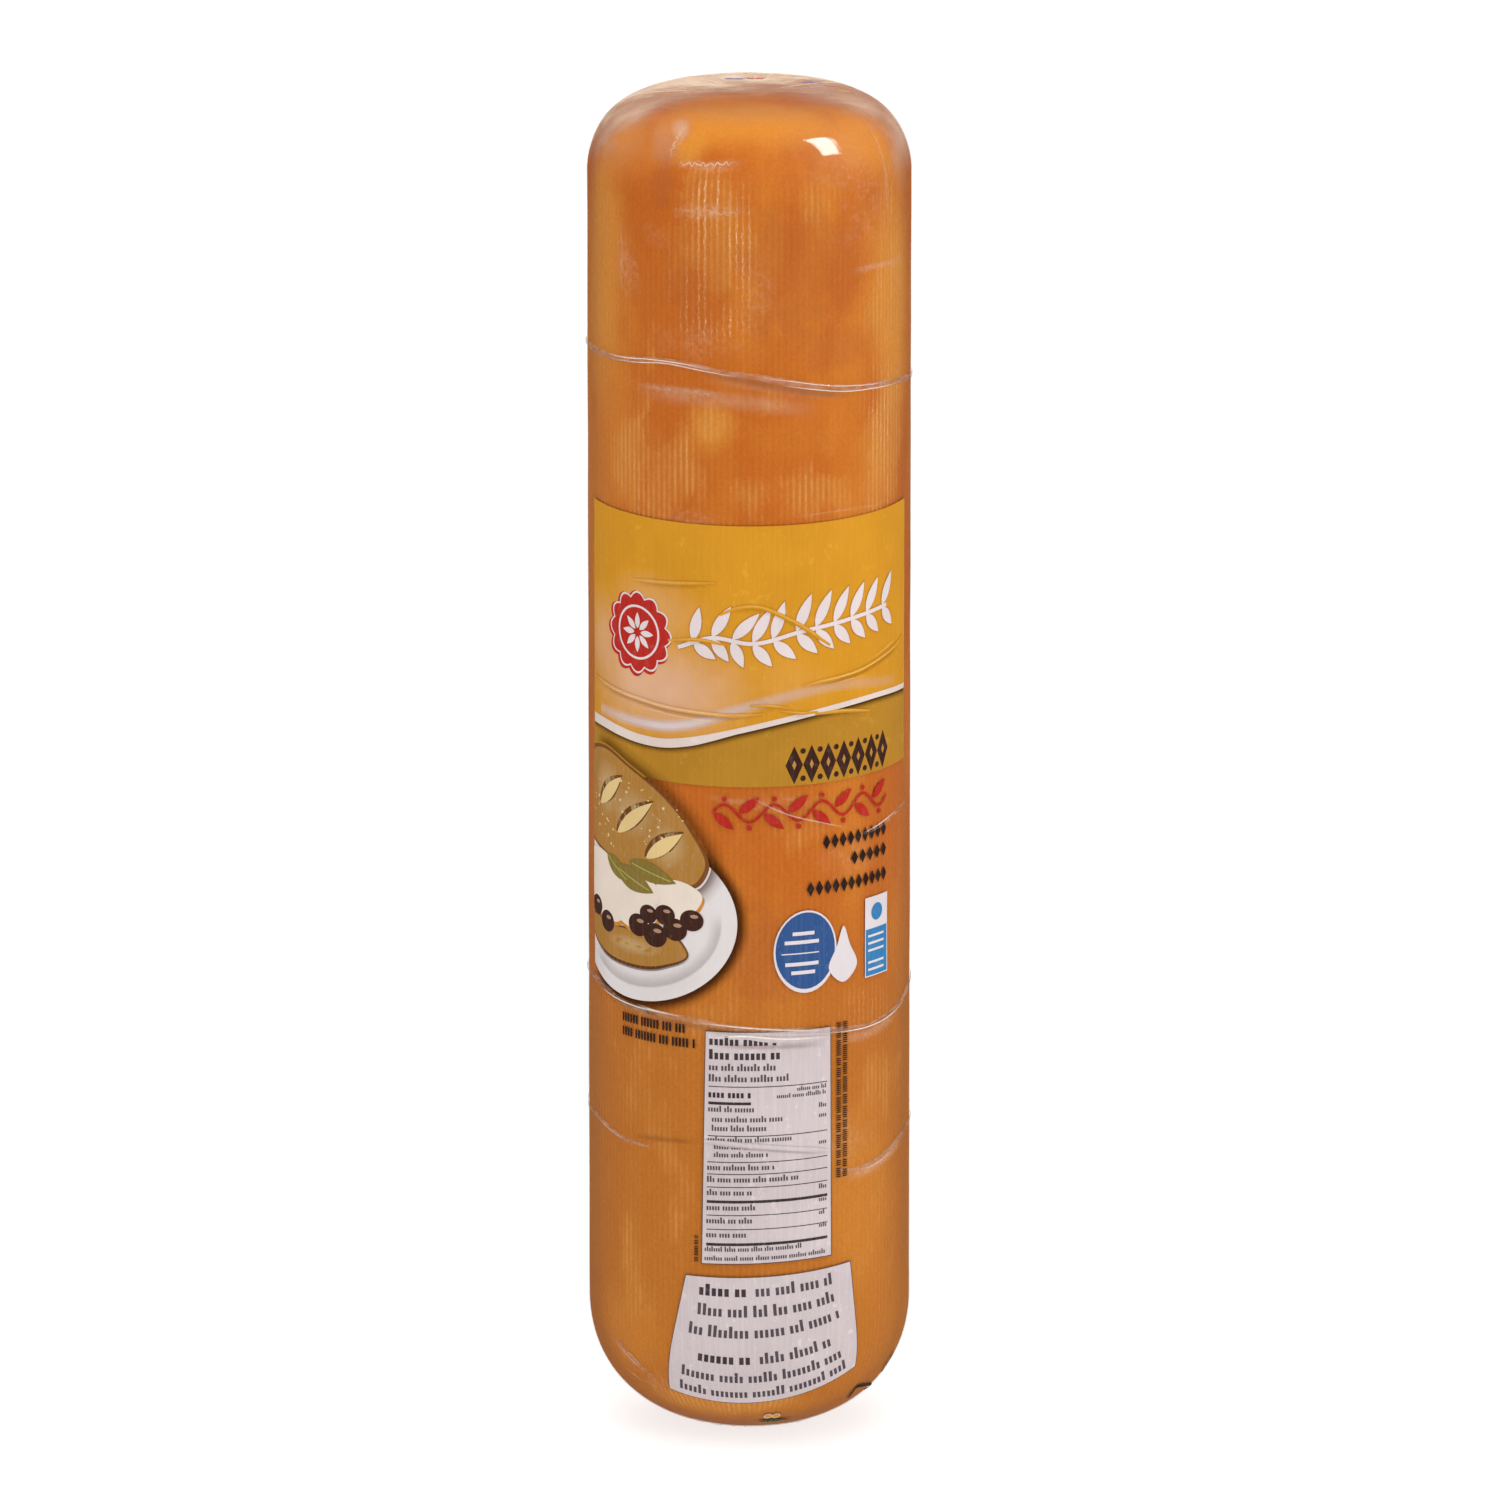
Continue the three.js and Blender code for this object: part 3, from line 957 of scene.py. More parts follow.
class Panel:
    """A four-sided field on the film, with places given as shares across and up it."""

    def __init__(self, top_left, top_right, low_right, low_left, top_bow=0, low_bow=0):
        self.corners = [np.asarray(corner, float) for corner in (top_left, top_right, low_right, low_left)]
        self.top_bow, self.low_bow = top_bow, low_bow

    def at(self, across, up):
        top_left, top_right, low_right, low_left = self.corners
        hang = np.array([0, 4 * across * (1 - across)])
        top = top_left + (top_right - top_left) * across - hang * self.top_bow
        low = low_left + (low_right - low_left) * across - hang * self.low_bow
        return low + (top - low) * up

    def outline(self, grown=0):
        """Its outline, grown by this many mm."""
        shares = np.arange(30) / 30
        places = [*((a, 1) for a in shares), *((1, 1 - a) for a in shares),
                  *((1 - a, 0) for a in shares), *((0, a) for a in shares)]
        points = np.array([self.at(*place) for place in places])
        middle = self.at(0.5, 0.5)
        reach = points.max(0) - points.min(0)
        return middle + (points - middle) * (1 + 2 * grown / reach)

    def level(self, start, end, up, count=24):
        """A level path across part of the panel."""
        return np.array([self.at(across, up) for across in np.linspace(start, end, count)])

    def strokes(self, sheet, start, end, up, height, seed, weight=0.27):
        strokes(sheet, self.level(start, end, up, 12), height, seed, weight)

    def shape(self, points):
        """A smooth closed outline through these shares of the panel."""
        return smooth_path([self.at(*point) for point in points], closed=True)


# ---------------- the print
# Rows are where a level line crosses the middle of the front; columns are as in the picture.
PRINT_LEFT, PRINT_RIGHT = column(595), column(903.5)
GOLD_TOP, OLIVE_LOW = row(526.5), row(787.5)
WAVE_TOP = (
    (595, 711), (604, 717), (620, 726), (640, 734), (664, 738.5), (690, 737), (730, 730), (778, 719),
    (806, 712), (834, 704.5), (870, 694), (903.5, 682),
)
WAVE_WIDTH = ((595, 2.9), (690, 2.7), (735, 1.7), (903.5, 1.6))  # picture column, width in mm
SWOOSH = (
    (601, 707), (615, 714), (640, 722), (670, 726), (700, 722), (725, 714), (752, 706), (778, 699),
    (827, 687), (894, 679),
)
SWOOSH_STRENGTH = ((601, 0.35), (660, 1), (700, 0.85), (760, 0.4), (894, 0.1))  # picture column, share


def by_column(path, stops):
    """What stops, as (picture column, value), give at each place of a path."""
    return np.interp(path[:, 0], [column(x) for x, _ in stops], [value for _, value in stops])


def add_label_fields(gold_look):
    """The gold and the olive field, with a white wave between them and its shadow and swoosh."""
    path = seen_path(WAVE_TOP, 1.2)
    width = by_column(path, WAVE_WIDTH)
    middle = beside(path, -width / 2)

    def corners(level):
        """From the wave's right end round by this level to its left end."""
        return [(PRINT_RIGHT, middle[-1, 1]), (PRINT_RIGHT, level), (PRINT_LEFT, level),
                (PRINT_LEFT, middle[0, 1])]

    gold = Sheet("print_gold_field", gold_look)
    gold.fill(np.concatenate([middle[:-1], straight_path(corners(GOLD_TOP))]))
    olive = Sheet("print_olive_field", ("#b27e28", 0.4, 0, "#cf9c3a"))
    olive.fill(np.concatenate([straight_path(corners(OLIVE_LOW)[::-1])[:-1], middle[::-1][:-1]]))
    shadow = Sheet("print_wave_shadow", ("#2e1a0c", 0, 0.85), 1)
    shadow.strip(beside(path, -width * 0.8), (-2.6, -1.9, -1.2, -0.6, 0),
                 fades=(0, 0.12, 0.4, 0.8, 1))
    swoosh = Sheet("print_swoosh", ("#e9dcda", 0, 0.75), 1)
    line = seen_path(SWOOSH, 1.2)
    swoosh.strip(line, (-2.2, -1.4, -0.5, 0.5, 1.4, 2.2), fades=(0, 0.5, 1, 1, 0.5, 0),
                 swell=by_column(line, SWOOSH_STRENGTH))
    white = Sheet("print_white_wave", ("#dfcdc3", 0.3), 2)
    white.strip(middle, (-0.5, -0.15, 0.15, 0.5), width=width)


SPRIG_STEM = ((678, 647), (712, 638), (752, 644), (800, 632), (846, 620), (886, 604))
SPRIG_LEAVES = 11
SPRIG_SIDES = ((1, 1, 12.5), (-1, 0.95, 9.5))  # side, turn and length of the leaves
SEAL_CENTRE = (637.5, 632)
SEAL_RADIUS = 12.6
SEAL_SCALLOPS, SCALLOP_DEPTH, SEAL_PETALS = 12, 1.6, 8
RED = ("#b5271f", 0.06)


def add_ornaments():
    """A leafy sprig and a scalloped seal."""
    white = print_material("lilac_white_ink", "#dfd1cf", 0.25)
    edges = Sheet("print_sprig_edges", ("#b97a2a", 0.2), 2)
    leaves = Sheet("print_sprig", white, 3)
    stem = seen_path(SPRIG_STEM, 1.2)
    edges.line(stem, 1.7)
    leaves.line(stem, 1.2)
    spots = np.linspace(4, len(stem) - 3, SPRIG_LEAVES).astype(int)
    for number, spot in enumerate(spots):
        ahead = stem[min(spot + 2, len(stem) - 1)] - stem[spot]
        heading = atan2(ahead[1], ahead[0])
        for side, turn, length in SPRIG_SIDES:
            length *= 1 - 0.25 * abs(number - SPRIG_LEAVES * 0.45) / SPRIG_LEAVES
            way = direction(heading + side * turn)
            edges.fill(leaf(stem[spot], stem[spot] + way * (length + 0.5), 2.05))
            leaves.fill(leaf(stem[spot] + way * 0.4, stem[spot] + way * length, 1.7))

    centre = film([SEAL_CENTRE])[0]
    Sheet("print_seal_red", RED, 1).fill(scallops(centre + (-0.6, -0.5), SEAL_RADIUS + 0.3))
    Sheet("print_seal_white", white, 2).fill(scallops(centre, SEAL_RADIUS - 0.2))
    Sheet("print_seal_face", RED, 3).fill(scallops(centre, SEAL_RADIUS - 0.8))
    mark = Sheet("print_seal_mark", white, 4)
    circle = ellipse(centre, SEAL_RADIUS * 0.62, SEAL_RADIUS * 0.62, 48)
    mark.line(np.concatenate([circle, circle[:1]]), 0.7)
    for i in range(SEAL_PETALS):
        way = direction(2 * pi * i / SEAL_PETALS)
        mark.fill(leaf(centre + way * 1.2, centre + way * 6, 0.95))


def strokes(sheet, path, height, seed, weight=0.24, level=False):
    """A line of plain upright strokes in word-like groups along a path: it says nothing."""
    chance = random.Random(seed)
    path = np.asarray(path, float)
    run = run_of(path)
    at, left = 0, chance.randint(3, 8)
    while at + weight * height < run[-1]:
        start, end = (np.array([np.interp(a, run, path[:, i]) for i in (0, 1)])
                      for a in (at, at + weight * height))
        up = np.array([start[1] - end[1], end[0] - start[0]])
        up *= height / np.linalg.norm(up)
        tall = 1 if level else chance.choice((0.66, 0.66, 0.66, 0.66, 1))
        sheet.fill([start, end, end + up * tall, start + up * tall])
        at += (weight + 0.17) * height
        left -= 1
        if left == 0:
            at += 0.34 * height
            left = chance.randint(3, 8)


# First and last column, top and bottom row of each level band, and how many lozenges or bends it has
LOZENGE_BAND = (785, 887, 748, 786, 7)
VINE_BAND = (712, 886, 797, 831, 8)
DARK_BANDS = ((822, 886, 840, 855, 9), (850, 886, 861, 875, 5), (806, 886, 885, 900, 11))
SIDE_LINES = ((623, 688, 1026, 1037), (623, 698, 1040, 1051))
# column, first and last row, height in mm and seed of each upright line
UPRIGHT_LINES = ((836.5, 1030, 1185, 1.5, 20), (843, 1030, 1185, 1.5, 21), (698, 1264, 1238, 1.2, 31))
DOT, BERRY = 0.85, 0.8  # radii


def add_vine(sheet, band):
    """A running vine: a waving stem, with a leaf in the hollow of each bend and a berry over it."""
    first, last, upper, lower, bends = band
    left, low = level_place(first, lower)
    right, top = level_place(last, upper)
    middle, reach = (low + top) / 2, (top - low) / 2
    pitch = (right - left) / bends
    across = np.linspace(left, right, 20 * bends)
    sheet.line(np.stack([across, middle + 0.5 * reach * np.sin((across - left) / pitch * pi)], 1), 0.8)
    for bend in range(bends):
        side = 1 if bend % 2 == 0 else -1
        centre = left + (bend + 0.5) * pitch
        base = (centre - 0.42 * pitch, middle - 0.02 * side * reach)
        tip = (centre + 0.4 * pitch, middle - 0.95 * side * reach)
        sheet.fill(leaf(base, tip, 0.2 * pitch))
        sheet.fill(ellipse((centre, middle + 0.84 * side * reach), BERRY, BERRY, 14))


def add_lozenges(sheet, band, fill):
    """A level row of upright lozenges; returns their middles, half width and half height."""
    first, last, upper, lower, count = band
    low, top = row(lower), row(upper)
    edges = np.linspace(column(first), column(last), count + 1)
    middles = [((left + right) / 2, (low + top) / 2) for left, right in zip(edges, edges[1:])]
    half = (edges[1] - edges[0]) / 2
    for middle in middles:
        sheet.fill(lozenge(middle, fill * half, (top - low) / 2))
    return middles, half, (top - low) / 2


def add_title_rows():
    """Rows of lozenges and a running vine, where the pack has its words, and lines of strokes."""
    brown = Sheet("print_brown_lozenges", ("#3b2119", 0.05), 1)
    hearts = Sheet("print_lozenge_hearts", ("#b27e28", 0.3), 2)
    middles, half, reach = add_lozenges(brown, LOZENGE_BAND, 0.98)
    for x, y in middles:
        hearts.fill(lozenge((x, y), 0.24 * half, 0.26 * reach))
    for x, y in middles[:-1]:
        for side in (1, -1):
            brown.fill(ellipse((x + half, y + 0.72 * side * reach), DOT, DOT, 14))
    add_vine(Sheet("print_red_vine", ("#b3261a", 0.07), 1), VINE_BAND)
    dark = Sheet("print_dark_rows", ("#2c1b17", 0.04), 1)
    for band in DARK_BANDS:
        add_lozenges(dark, band, 0.86)
    for seed, (first, last, upper, lower) in enumerate(SIDE_LINES):
        path = [level_place(first, lower), level_place(last, lower)]
        strokes(dark, path, 0.8 * (row(upper) - row(lower)), seed, 0.26, level=True)
    for x, first, last, height, seed in UPRIGHT_LINES:
        strokes(dark, [level_place(x, first), level_place(x, last)], height, seed, level=True)


BADGE, BADGE_SIZE, BADGE_FACE = level_place(806, 954.5), (9.9, 12.5), (9.3, 11.6)  # half sizes in mm
BADGE_LINES = ((5.6, 4.2), (3, 6.6), (-3.6, 6.4), (-6.2, 4.6))  # height above its middle, reach
DROP = level_place(843, 962)
DROP_SHAPE = ((-5, -4), (0, -8.5), (5, -4), (2.2, 3), (0, 8.5), (-2.2, 3))
TILE_LEFT, TILE_TOP = level_place(864.7, 912)
TILE_RIGHT, TILE_LOW = level_place(886.8, 991.5)
TILE_MIDDLE = TILE_LOW + (TILE_TOP - TILE_LOW) * 0.6
TILE_RIM = 0.35


def add_badges():
    """A blue oval with white lines, a milk drop and a two-coloured tile."""
    white = print_material("badge_white_ink", "#dcd2d4", 0.2)
    rim = Sheet("print_badge_rim", white, 1)
    face = Sheet("print_badge_face", ("#305389", 0.08), 2)
    marks = Sheet("print_badge_marks", white, 3)
    x, y = BADGE
    rim.fill(ellipse((x, y), *BADGE_SIZE))
    face.fill(ellipse((x, y + 0.3), *BADGE_FACE))
    for up, reach in BADGE_LINES:
        marks.line(straight_path([(x - reach, y + up), (x + reach * 0.6, y + up)]), 1.1)
    marks.line(straight_path([(x - 7.5, y - 0.4), (x + 4, y - 0.4)]), 0.35)
    marks.fill(smooth_path([(DROP[0] + across, DROP[1] + up) for across, up in DROP_SHAPE], 0.8, closed=True))
    rim.fill(rectangle(TILE_LEFT, TILE_LOW, TILE_RIGHT, TILE_TOP))
    tile = Sheet("print_tile_blue", ("#357bb0", 0.08), 2)
    tile.fill(rectangle(TILE_LEFT + TILE_RIM, TILE_LOW + TILE_RIM, TILE_RIGHT - TILE_RIM, TILE_MIDDLE))
    tile.fill(ellipse(((TILE_LEFT + TILE_RIGHT) / 2, (TILE_MIDDLE + TILE_TOP) / 2), 2.6, 2.6, 24))
    lines = Sheet("print_tile_lines", white, 3)
    for share in (0.15, 0.3, 0.55, 0.7, 0.85):
        height = TILE_LOW + (TILE_MIDDLE - TILE_LOW) * share
        lines.line(straight_path([(TILE_LEFT + 1.3, height), (TILE_RIGHT - 2, height)]), 0.7)


FACTS = Panel(level_place(706, 1033), level_place(830, 1033), level_place(831, 1261), level_place(702, 1265))
FACTS_TOP, FACTS_ROWS = 1033, 230  # its first row, and how many it is tall
# row, start and end share, height in rows of each line of strokes
FACTS_LINES = (
    (1046, 0.03, 0.59, 8.5), (1060, 0.03, 0.62, 9), (1071, 0.03, 0.55, 6.5), (1082, 0.03, 0.66, 6.5),
    (1098, 0.03, 0.39, 7), (1093, 0.72, 0.97, 4), (1099, 0.56, 0.97, 4), (1112, 0.03, 0.4, 5.5),
    (1122, 0.06, 0.62, 5.5), (1131, 0.06, 0.5, 5.5), (1142, 0.03, 0.7, 5), (1149, 0.08, 0.45, 5),
    (1157, 0.08, 0.5, 5), (1170, 0.03, 0.55, 5.5), (1182, 0.03, 0.76, 5.5), (1195, 0.03, 0.38, 5.5),
    (1210, 0.03, 0.4, 5.5), (1223, 0.03, 0.38, 5.5), (1237, 0.03, 0.35, 5.5), (1251, 0.02, 0.77, 4.5),
    (1260, 0.02, 0.96, 4.5),
)
HEAVY_FROM = 7  # lines at least this tall have heavy strokes
FACTS_FIGURES = (1112, 1122, 1149, 1157, 1194, 1207, 1220, 1233)
FACTS_RULES = (1087, 1136, 1162, 1174, 1187, 1215, 1229)
FACTS_BARS = ((1103.5, 0.03, 0.36), (1201.5, 0.03, 0.97), (1244, 0.03, 0.97))
LIST_PANEL = Panel(*film([(686, 1275), (850, 1261.5), (855, 1366), (670, 1388)]), 0.6, 6.5)
# first and last share, height share, and length share of a heavy first word
LIST_LINES = ((0.1, 0.87, 0.86, 0.3), (0.11, 0.88, 0.71, 0), (0.08, 0.91, 0.555, 0),
              (0.15, 0.85, 0.355, 0.3), (0.07, 0.93, 0.2, 0), (0.06, 0.95, 0.055, 0))
LIST_STROKE = 3.6  # height in mm


def add_panels(panel_look):
    rims = Sheet("print_panel_rims", ("#6a4a3e", 0.1))
    fields = Sheet("print_panels", panel_look, 1)
    for panel in (FACTS, LIST_PANEL):
        rims.fill(panel.outline(0.3))
        fields.fill(panel.outline())
    text = Sheet("print_panel_strokes", ("#54494f", 0.08), 2)
    heavy = Sheet("print_panel_heavy_strokes", ("#3f3439", 0.08), 2)
    rules = Sheet("print_panel_rules", ("#3a3034", 0.1), 2)

    def share(y):
        return 1 - (y - FACTS_TOP) / FACTS_ROWS

    for seed, (y, start, end, tall) in enumerate(FACTS_LINES):
        sheet, weight = (heavy, 0.36) if tall >= HEAVY_FROM else (text, 0.28)
        FACTS.strokes(sheet, start, end, share(y), 1.15 * tall * PIXEL, seed, weight)
    for seed, y in enumerate(FACTS_FIGURES):
        FACTS.strokes(text, 0.9, 0.965, share(y), 5 * PIXEL, 40 + seed)
    for y in FACTS_RULES:
        rules.line(FACTS.level(0.03, 0.97, share(y)), 0.25)
    for y, start, end in FACTS_BARS:
        rules.line(FACTS.level(start, end, share(y)), 0.85)
    for seed, (start, end, up, first) in enumerate(LIST_LINES):
        if first:
            LIST_PANEL.strokes(heavy, start, start + first, up, LIST_STROKE, 60 + seed, 0.36)
            start += first + 0.02
        LIST_PANEL.strokes(text, start, end, up, LIST_STROKE, 70 + seed)


# The picture on the print: a scored loaf, cheese slices, leaves and dark olives on a plate
STILL_LIFE = Panel(level_place(595, 765), level_place(711, 765), level_place(711, 985), level_place(595, 985))
PLATE_CENTRE, PLATE_SIZE = (-38, row(925)), (34.5, 26.5)
LOAF = ((0, 0.96), (0.16, 0.985), (0.42, 0.935), (0.7, 0.83), (0.9, 0.67), (0.99, 0.52), (0.93, 0.44),
        (0.7, 0.43), (0.4, 0.46), (0.15, 0.5), (0, 0.53))
BREAD = ((0, 0.2), (0.2, 0.19), (0.5, 0.2), (0.8, 0.19), (0.86, 0.12), (0.7, 0.05), (0.4, 0.02),
         (0.12, 0.05), (0, 0.1))
# start and end of each score in the crust; start, end and half width of each leaf
SCORES = (((0.1, 0.72), (0.36, 0.88)), ((0.3, 0.62), (0.62, 0.8)), ((0.55, 0.54), (0.83, 0.68)))
GREENS = (((0.3, 0.46), (0.62, 0.38), 3.4), ((0.42, 0.5), (0.78, 0.44), 3), ((0.2, 0.5), (0.42, 0.4), 2.6))
# share across and up, half width and half height of each light; share across and up, size
LOAF_LIGHTS = ((0.2, 0.8, 7.5, 9), (0.45, 0.72, 9, 8), (0.72, 0.6, 7, 7), (0.45, 0.12, 13, 3))
OLIVES = ((0.06, 0.24, 3), (0.2, 0.19, 3.2), (0.5, 0.22, 3.4), (0.63, 0.19, 3.6), (0.77, 0.23, 3.4),
          (0.88, 0.28, 3.2), (0.7, 0.29, 3), (0.58, 0.28, 2.8))
SLICES = (
    ((0, 0.26), (0.34, 0.21), (0.44, 0.4), (0.2, 0.5), (0, 0.5)),
    ((0.3, 0.24), (0.56, 0.2), (0.7, 0.38), (0.56, 0.45), (0.34, 0.46)),
    ((0.62, 0.27), (0.82, 0.27), (0.95, 0.4), (0.84, 0.45), (0.66, 0.44)),
)
CRUMBS = 90


def clipped(outline):
    """An outline cut off at the print's left edge."""
    outline = np.array(outline)
    outline[:, 0] = np.maximum(outline[:, 0], PRINT_LEFT)
    keep = np.linalg.norm(outline - np.roll(outline, 1, axis=0), axis=1) > 0.05
    return outline[keep]


def shrunk(outline, middle, shares):
    return middle + (outline - middle) * shares


def add_shade(name, look, layer, outline, keep, offsets, fades):
    """Soft light or shade along the kept places of a closed outline."""
    run = outline[keep]
    start = int(np.argmax(np.linalg.norm(run - np.roll(run, 1, axis=0), axis=1)))
    path = np.roll(run, -start, axis=0)
    Sheet(name, look, layer).strip(path, offsets, fades=fades, swell=tapered(path, 8))


def add_plate(bread):
    """The plate with its shadow, its well and the shadow under the bread on it."""
    rim = ellipse(PLATE_CENTRE, *PLATE_SIZE, 120)
    lower = (rim[:, 0] > PRINT_LEFT) & ((rim[:, 1] < PLATE_CENTRE[1]) | (rim[:, 0] > -30))
    add_shade("print_plate_shadow", ("#3a1b0c", 0, 0.8), 0, rim, lower,
              (-4, -3, -2, -1, 0.3), (0, 0.15, 0.45, 0.85, 1))
    Sheet("print_plate", ("#dcd4d2", 0.25), 1).fill(clipped(rim))
    shade = print_material("food_shade", "#5a4038", 0, 0.5)
    well = ellipse(PLATE_CENTRE, PLATE_SIZE[0] - 5, PLATE_SIZE[1] - 4.5, 120)
    lower = (well[:, 0] > PRINT_LEFT) & (well[:, 1] < PLATE_CENTRE[1] + 5)
    add_shade("print_plate_well", shade, 2, well, lower, (-0.6, 0, 1.5, 3.5), (0, 0.4, 0.25, 0))
    under = (bread[:, 0] > PRINT_LEFT + 1) & (bread[:, 1] < STILL_LIFE.at(0, 0.16)[1])
    add_shade("print_bread_shadow", shade, 2, bread, under, (-3.5, -2, -0.8, 0.5), (0, 0.3, 0.8, 1))


def add_loaf(bread):
    """The loaf and the piece of bread, with crust, crumb, scores and light."""
    loaf = STILL_LIFE.shape(LOAF)
    middle, low_middle = STILL_LIFE.at(0.42, 0.7), STILL_LIFE.at(0.42, 0.125)
    crust = Sheet("print_crust", ("#7a4a20", 0.06), 2)
    crumb = Sheet("print_loaf", ("#ab7935", 0.12), 3)
    crust.fill(clipped(loaf))
    crumb.fill(clipped(shrunk(loaf, middle, (0.955, 0.95))))
    crust.fill(clipped(bread))
    crumb.fill(clipped(shrunk(bread, low_middle, (0.97, 0.86))))
    add_shade("print_loaf_shade", ("#5c3413", 0, 0.6), 4, loaf, loaf[:, 0] > PRINT_LEFT + 1,
              (0.6, 1.6, 3.2, 5.5), (1, 0.7, 0.25, 0))
    shine = Sheet("print_loaf_light", ("#e6c48c", 0, 0.45), 4)
    for across, up, half_width, half_height in LOAF_LIGHTS:
        shine.glow(STILL_LIFE.at(across, up), half_width, half_height)
    dark = Sheet("print_loaf_edges", ("#6b3f1c", 0.05), 4)
    pale = Sheet("print_loaf_scores", ("#e0c184", 0.15), 5)
    for start, end in SCORES:
        start, end = STILL_LIFE.at(*start), STILL_LIFE.at(*end)
        dark.fill(leaf(start, end, 3.1, 14))
        pale.fill(leaf(start + (0.6, -0.5), end + (-0.4, -0.7), 2.1, 14))
    chance = random.Random(11)
    for _ in range(CRUMBS):
        spot = STILL_LIFE.at(chance.uniform(0.02, 0.93), chance.uniform(0.47, 0.9))
        off = (spot - middle) / ((STILL_LIFE.at(0.93, 0.7) - middle)[0], 16)
        if np.hypot(*off) < 0.8:
            size = chance.uniform(0.2, 0.55)
            pale.fill(ellipse(spot, size, size * chance.uniform(0.6, 1), 7))


def add_still_life():
    bread = STILL_LIFE.shape(BREAD)
    add_plate(bread)
    add_loaf(bread)
    cheese_edge = Sheet("print_slice_edges", ("#c9822f", 0.2), 4)
    cheese = Sheet("print_slices", ("#e6d6c6", 0.2), 5)
    for points in SLICES:
        outline = STILL_LIFE.shape(points)
        cheese_edge.fill(clipped(outline + (0.4, -0.9)))
        cheese.fill(clipped(shrunk(outline, outline.mean(0), 0.98)))
    greens = Sheet("print_leaves", ("#846f2f", 0.1), 6)
    veins = Sheet("print_leaf_veins", ("#a9a552", 0.2), 7)
    for start, end, half_width in GREENS:
        start, end = STILL_LIFE.at(*start), STILL_LIFE.at(*end)
        greens.fill(leaf(start, end, half_width, 14))
        veins.line(straight_path([start + (end - start) * 0.08, start + (end - start) * 0.9]), 0.35)
    olives = Sheet("print_olives", ("#3f241b", 0.05), 6)
    glints = Sheet("print_olive_glints", ("#a8856c", 0.2), 7)
    for across, up, size in OLIVES:
        spot = STILL_LIFE.at(across, up)
        olives.fill(clipped(ellipse(spot, size * 1.15, size)))
        glints.fill(ellipse(spot + (0.25 * size, 0.4 * size), size * 0.4, size * 0.18, 14))


# places, half width, rise and strength of the painted highlight of each fold in the printed film
LABEL_FOLDS = (
    (((633, 579), (670, 583), (716, 583)), 0.7, 0.25, 0.35),
    (((720, 615), (735, 609), (755, 607), (790, 620), (830, 645)), 0.7, 0.22, 0.35),
    (((668, 640), (700, 640), (730, 646)), 0.6, 0.18, 0.3),
    (((596, 674), (610, 686), (640, 699), (670, 708), (700, 713), (735, 716), (765, 714)), 0.7, 0.35, 0.8),
    (((902, 634), (895, 645), (880, 658), (860, 670), (840, 677), (815, 683), (803, 686)), 0.7, 0.35, 0.8),
    (((750, 706), (770, 706), (790, 708)), 0.6, 0.3, 0.6),
    (((780, 711), (800, 713), (818, 712)), 0.6, 0.3, 0.6),
    (((815, 714), (840, 711), (870, 710)), 0.6, 0.25, 0.4),
)
# more painted highlights beside the folds
LABEL_GLINTS = (
    ((868, 672), (845, 680), (820, 686)), ((898, 632), (884, 648), (866, 660)),
    ((640, 705), (690, 718), (730, 722)),
)
PANEL_FOLDS = (((746, 1038), (790, 1040), (830, 1037)), ((704, 1141), (760, 1147), (830, 1150)))


def add_print_folds(gold_look, panel_look):
    gold = Sheet("label_folds", gold_look, base=FOLD_LIFT - 0.1)
    for points, half_width, rise, _ in LABEL_FOLDS:
        add_fold(gold, seen_path(points), half_width, rise, 9, RIDGE)
    # Painted highlights along the folds
    glints = [(film(points) + (0, 0.2), 0.32, glint) for points, _, _, glint in LABEL_FOLDS]
    glints += [(film(points), 0.25, 0.5) for points in LABEL_GLINTS]
    add_soft_lines("label_glints", ("#ffdc84", 0.2, 0.9), 0.52, glints)
    # Painted shade below the folds
    shades = [(film(points) - (0, 0.9), 1, glint) for points, _, _, glint in LABEL_FOLDS]
    add_soft_lines("label_fold_shade", ("#a5650f", 0, 0.35), 0.26, shades)
    pale = Sheet("panel_folds", panel_look, base=FOLD_LIFT - 0.05)
    for points in PANEL_FOLDS:
        add_fold(pale, seen_path(points), 0.9, 0.25, 6, RIDGE)


TOP_MARKS = (  # mm right of the axis, mm behind it, half length, colour
    (-4.4, 18, 3, "#6a5fa0"), (1.5, 18.6, 3.2, "#b4504a"), (18.6, 13.6, 3.4, "#5f62a6"),
    (23.5, 10, 2.4, "#b4504a"), (27.5, 5, 3.2, "#d8b13a"),
)
# picture point, size and colour of each small spot near the base, the lower ones first
BASE_MARKS = (
    ((768, 1416.5), 1.7, "#e8d2b8"), ((776, 1416), 1.7, "#e8d2b8"),
    ((768, 1416.5), 1.25, "#e0963a"), ((776, 1416), 1.25, "#e0963a"),
)
BASE_LEAF = ((757, 1421), (791, 1418.5))
BASE_STROKES = (((848, 1398), (856, 1388), (866, 1385), (868, 1392)), ((882, 1372), (888, 1362), (894, 1352)))


def add_end_marks():
    """Small smudges of print on the top and small marks near the base."""
    for number, (across, back, half_length, colour) in enumerate(TOP_MARKS):
        spread = np.linspace(-half_length, half_length, 12)
        path = top_place(across + spread, back - 0.1 * spread)
        smudge = Sheet("print_top_mark_%d" % number, (colour, 0.2, 0.7))
        smudge.strip(path, (-1.2, -0.5, 0.5, 1.2), fades=(0, 1, 1, 0), swell=tapered(path, 2))
    for number, (point, size, colour) in enumerate(BASE_MARKS):
        mark = Sheet("print_base_mark_%d" % number, (colour, 0.2), number)
        mark.fill(ellipse(film([point])[0], size, size, 20))
    dark = Sheet("print_base_strokes", ("#2a1a14", 0.1))
    for points in BASE_STROKES:
        dark.line(seen_path(points), 1.3)
    Sheet("print_base_leaf", ("#39512c", 0.2), 4).fill(leaf(*film(BASE_LEAF), 1.1))


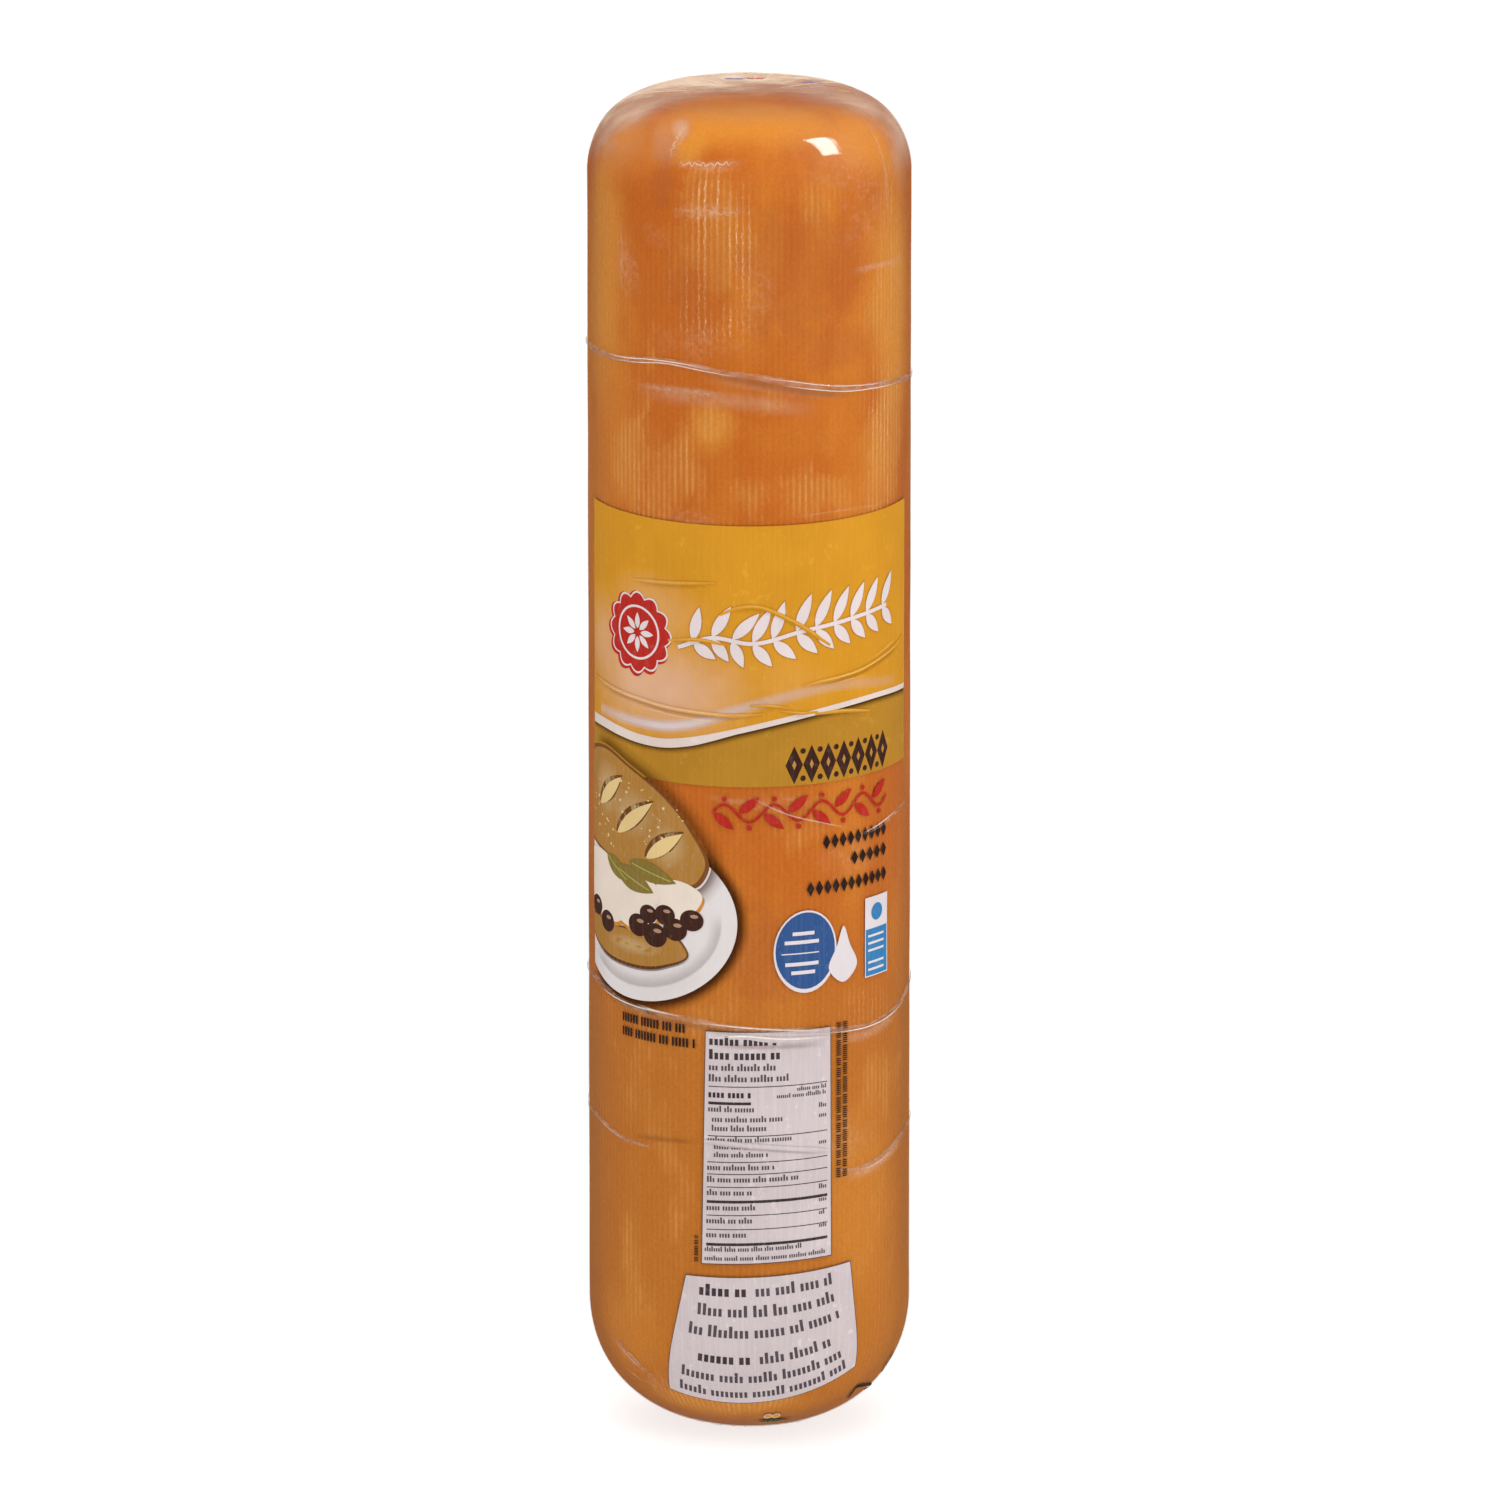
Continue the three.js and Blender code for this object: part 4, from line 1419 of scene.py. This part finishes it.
# ---------------- floor, light and camera
FLOOR_SIDE = 6  # half its side, in metres
# Where the picture shows the softbox mirrored on the shoulder, its size in metres, its watts, and
# how far it is turned in its own plane, in degrees
KEY_SEEN, KEY_SIZE, KEY_POWER, KEY_TURN = (827, 144), (0.74, 0.27), 10, 46
KEY_DISTANCE = 1.4
# place, aim and size in metres, and watts of each light that isn't mirrored
SOFT_LIGHTS = {
    "overhead": ((0, -0.5, 1.9), (0, 0, 0.3), (1.6, 1.6), 16),
    "behind": ((0, 1.6, 1.1), (0, 0, 0.3), (1.6, 1), 16),
    "right": ((1.7, -0.7, 0.6), (0, 0, 0.2), (1.2, 1.2), 7),
}
AMBIENT = 0.75
MIRRORED = 0.06  # what the film mirrors of the room round it
HORIZON = 0.05  # and what it mirrors of the pale band on top of that


def add_floor():
    mesh = bpy.data.meshes.new("floor")
    corners = [(x * FLOOR_SIDE, y * FLOOR_SIDE, 0) for x, y in ((-1, -1), (1, -1), (1, 1), (-1, 1))]
    mesh.from_pydata(corners, [], [(0, 1, 2, 3)])
    floor = bpy.data.objects.new("floor", mesh)
    graph = Graph("pale_floor")
    mesh.materials.append(graph.finish(graph.add("BsdfPrincipled", {
        "Base Color": (0.35, 0.35, 0.35, 1), "Roughness": 0.9, "Specular IOR Level": 0,
        "Emission Color": (1, 1, 1, 1), "Emission Strength": 0.74,
    })))
    floor.visible_glossy = False
    bpy.context.scene.collection.objects.link(floor)


def add_area_light(name, place_m, aim_m, size, power, turn=0, mirrored=False):
    """A panel of light that either lights things or is only mirrored in them."""
    data = bpy.data.lights.new(name, "AREA")
    data.shape = "RECTANGLE"
    data.size, data.size_y = size
    data.energy = power
    light = bpy.data.objects.new(name, data)
    light.location = place_m
    facing = (Vector(aim_m) - Vector(place_m)).to_track_quat("-Z", "Y")
    light.rotation_euler = (facing @ Quaternion((0, 0, 1), radians(turn))).to_euler()
    light.visible_glossy = mirrored
    light.visible_diffuse = not mirrored
    bpy.context.scene.collection.objects.link(light)


def add_key_light():
    """A soft box placed where the film at its place in the picture mirrors it to the camera."""
    angle, along = seen(*KEY_SEEN)
    slope_r, slope_z = slope_at(along)
    normal = Vector((slope_z * sin(angle), -slope_z * cos(angle), -slope_r)).normalized()
    view = Vector((0, cos(ELEVATION), -sin(ELEVATION)))
    spot = Vector(place(angle, along, 0))
    away = view - 2 * view.dot(normal) * normal
    add_area_light("key", spot + away * KEY_DISTANCE, spot, KEY_SIZE, KEY_POWER, KEY_TURN, mirrored=True)


def add_world():
    """A plain white room. What is mirrored of it is dim, but for a pale band above the horizon."""
    graph = Graph("studio", world=True)
    _, _, upward = graph.add("TexCoord", output="Generated").split()
    mirrored = upward.step(-0.2, 0) * upward.step(0.75, 0.45) * HORIZON + MIRRORED
    strength = graph.add("LightPath", output="Is Glossy Ray") * (mirrored - AMBIENT) + AMBIENT
    sky = graph.add("Background", {"Color": (1, 1, 1, 1), "Strength": strength})
    bpy.context.scene.world = graph.finish(sky)


def add_camera():
    data = bpy.data.cameras.new("camera")
    data.sensor_width = SENSOR_MM
    data.lens = FOCAL_PIXELS / PICTURE * SENSOR_MM
    data.clip_start, data.clip_end = 0.1, 50
    data.shift_x = (PICTURE / 2 - PICTURE_CENTRE[0]) / PICTURE
    data.shift_y = (PICTURE_CENTRE[1] - PICTURE / 2) / PICTURE
    camera = bpy.data.objects.new("camera", data)
    back = Vector((0, -cos(ELEVATION), sin(ELEVATION)))
    camera.location = Vector((0, 0, AIM_HEIGHT * MM)) + back * CAMERA_DISTANCE * MM
    camera.rotation_euler = (-back).to_track_quat("-Z", "Y").to_euler()
    bpy.context.scene.collection.objects.link(camera)
    bpy.context.scene.camera = camera


gold_ink = print_material("gold_ink", "#d19024", 0.38, flecks="#eab040", pale="#dcac8c")
panel_ink = print_material("panel_ink", "#ccbebf", 0.45)
add_log()
add_film()
add_film_folds()
add_label_fields(gold_ink)
add_ornaments()
add_title_rows()
add_badges()
add_panels(panel_ink)
add_still_life()
add_print_folds(gold_ink, panel_ink)
add_end_marks()
for sheet in SHEETS:
    sheet.finish()
add_floor()
add_world()
add_key_light()
for name, settings in SOFT_LIGHTS.items():
    add_area_light(name, *settings)
add_camera()
bpy.context.scene.view_settings.view_transform = "Standard"
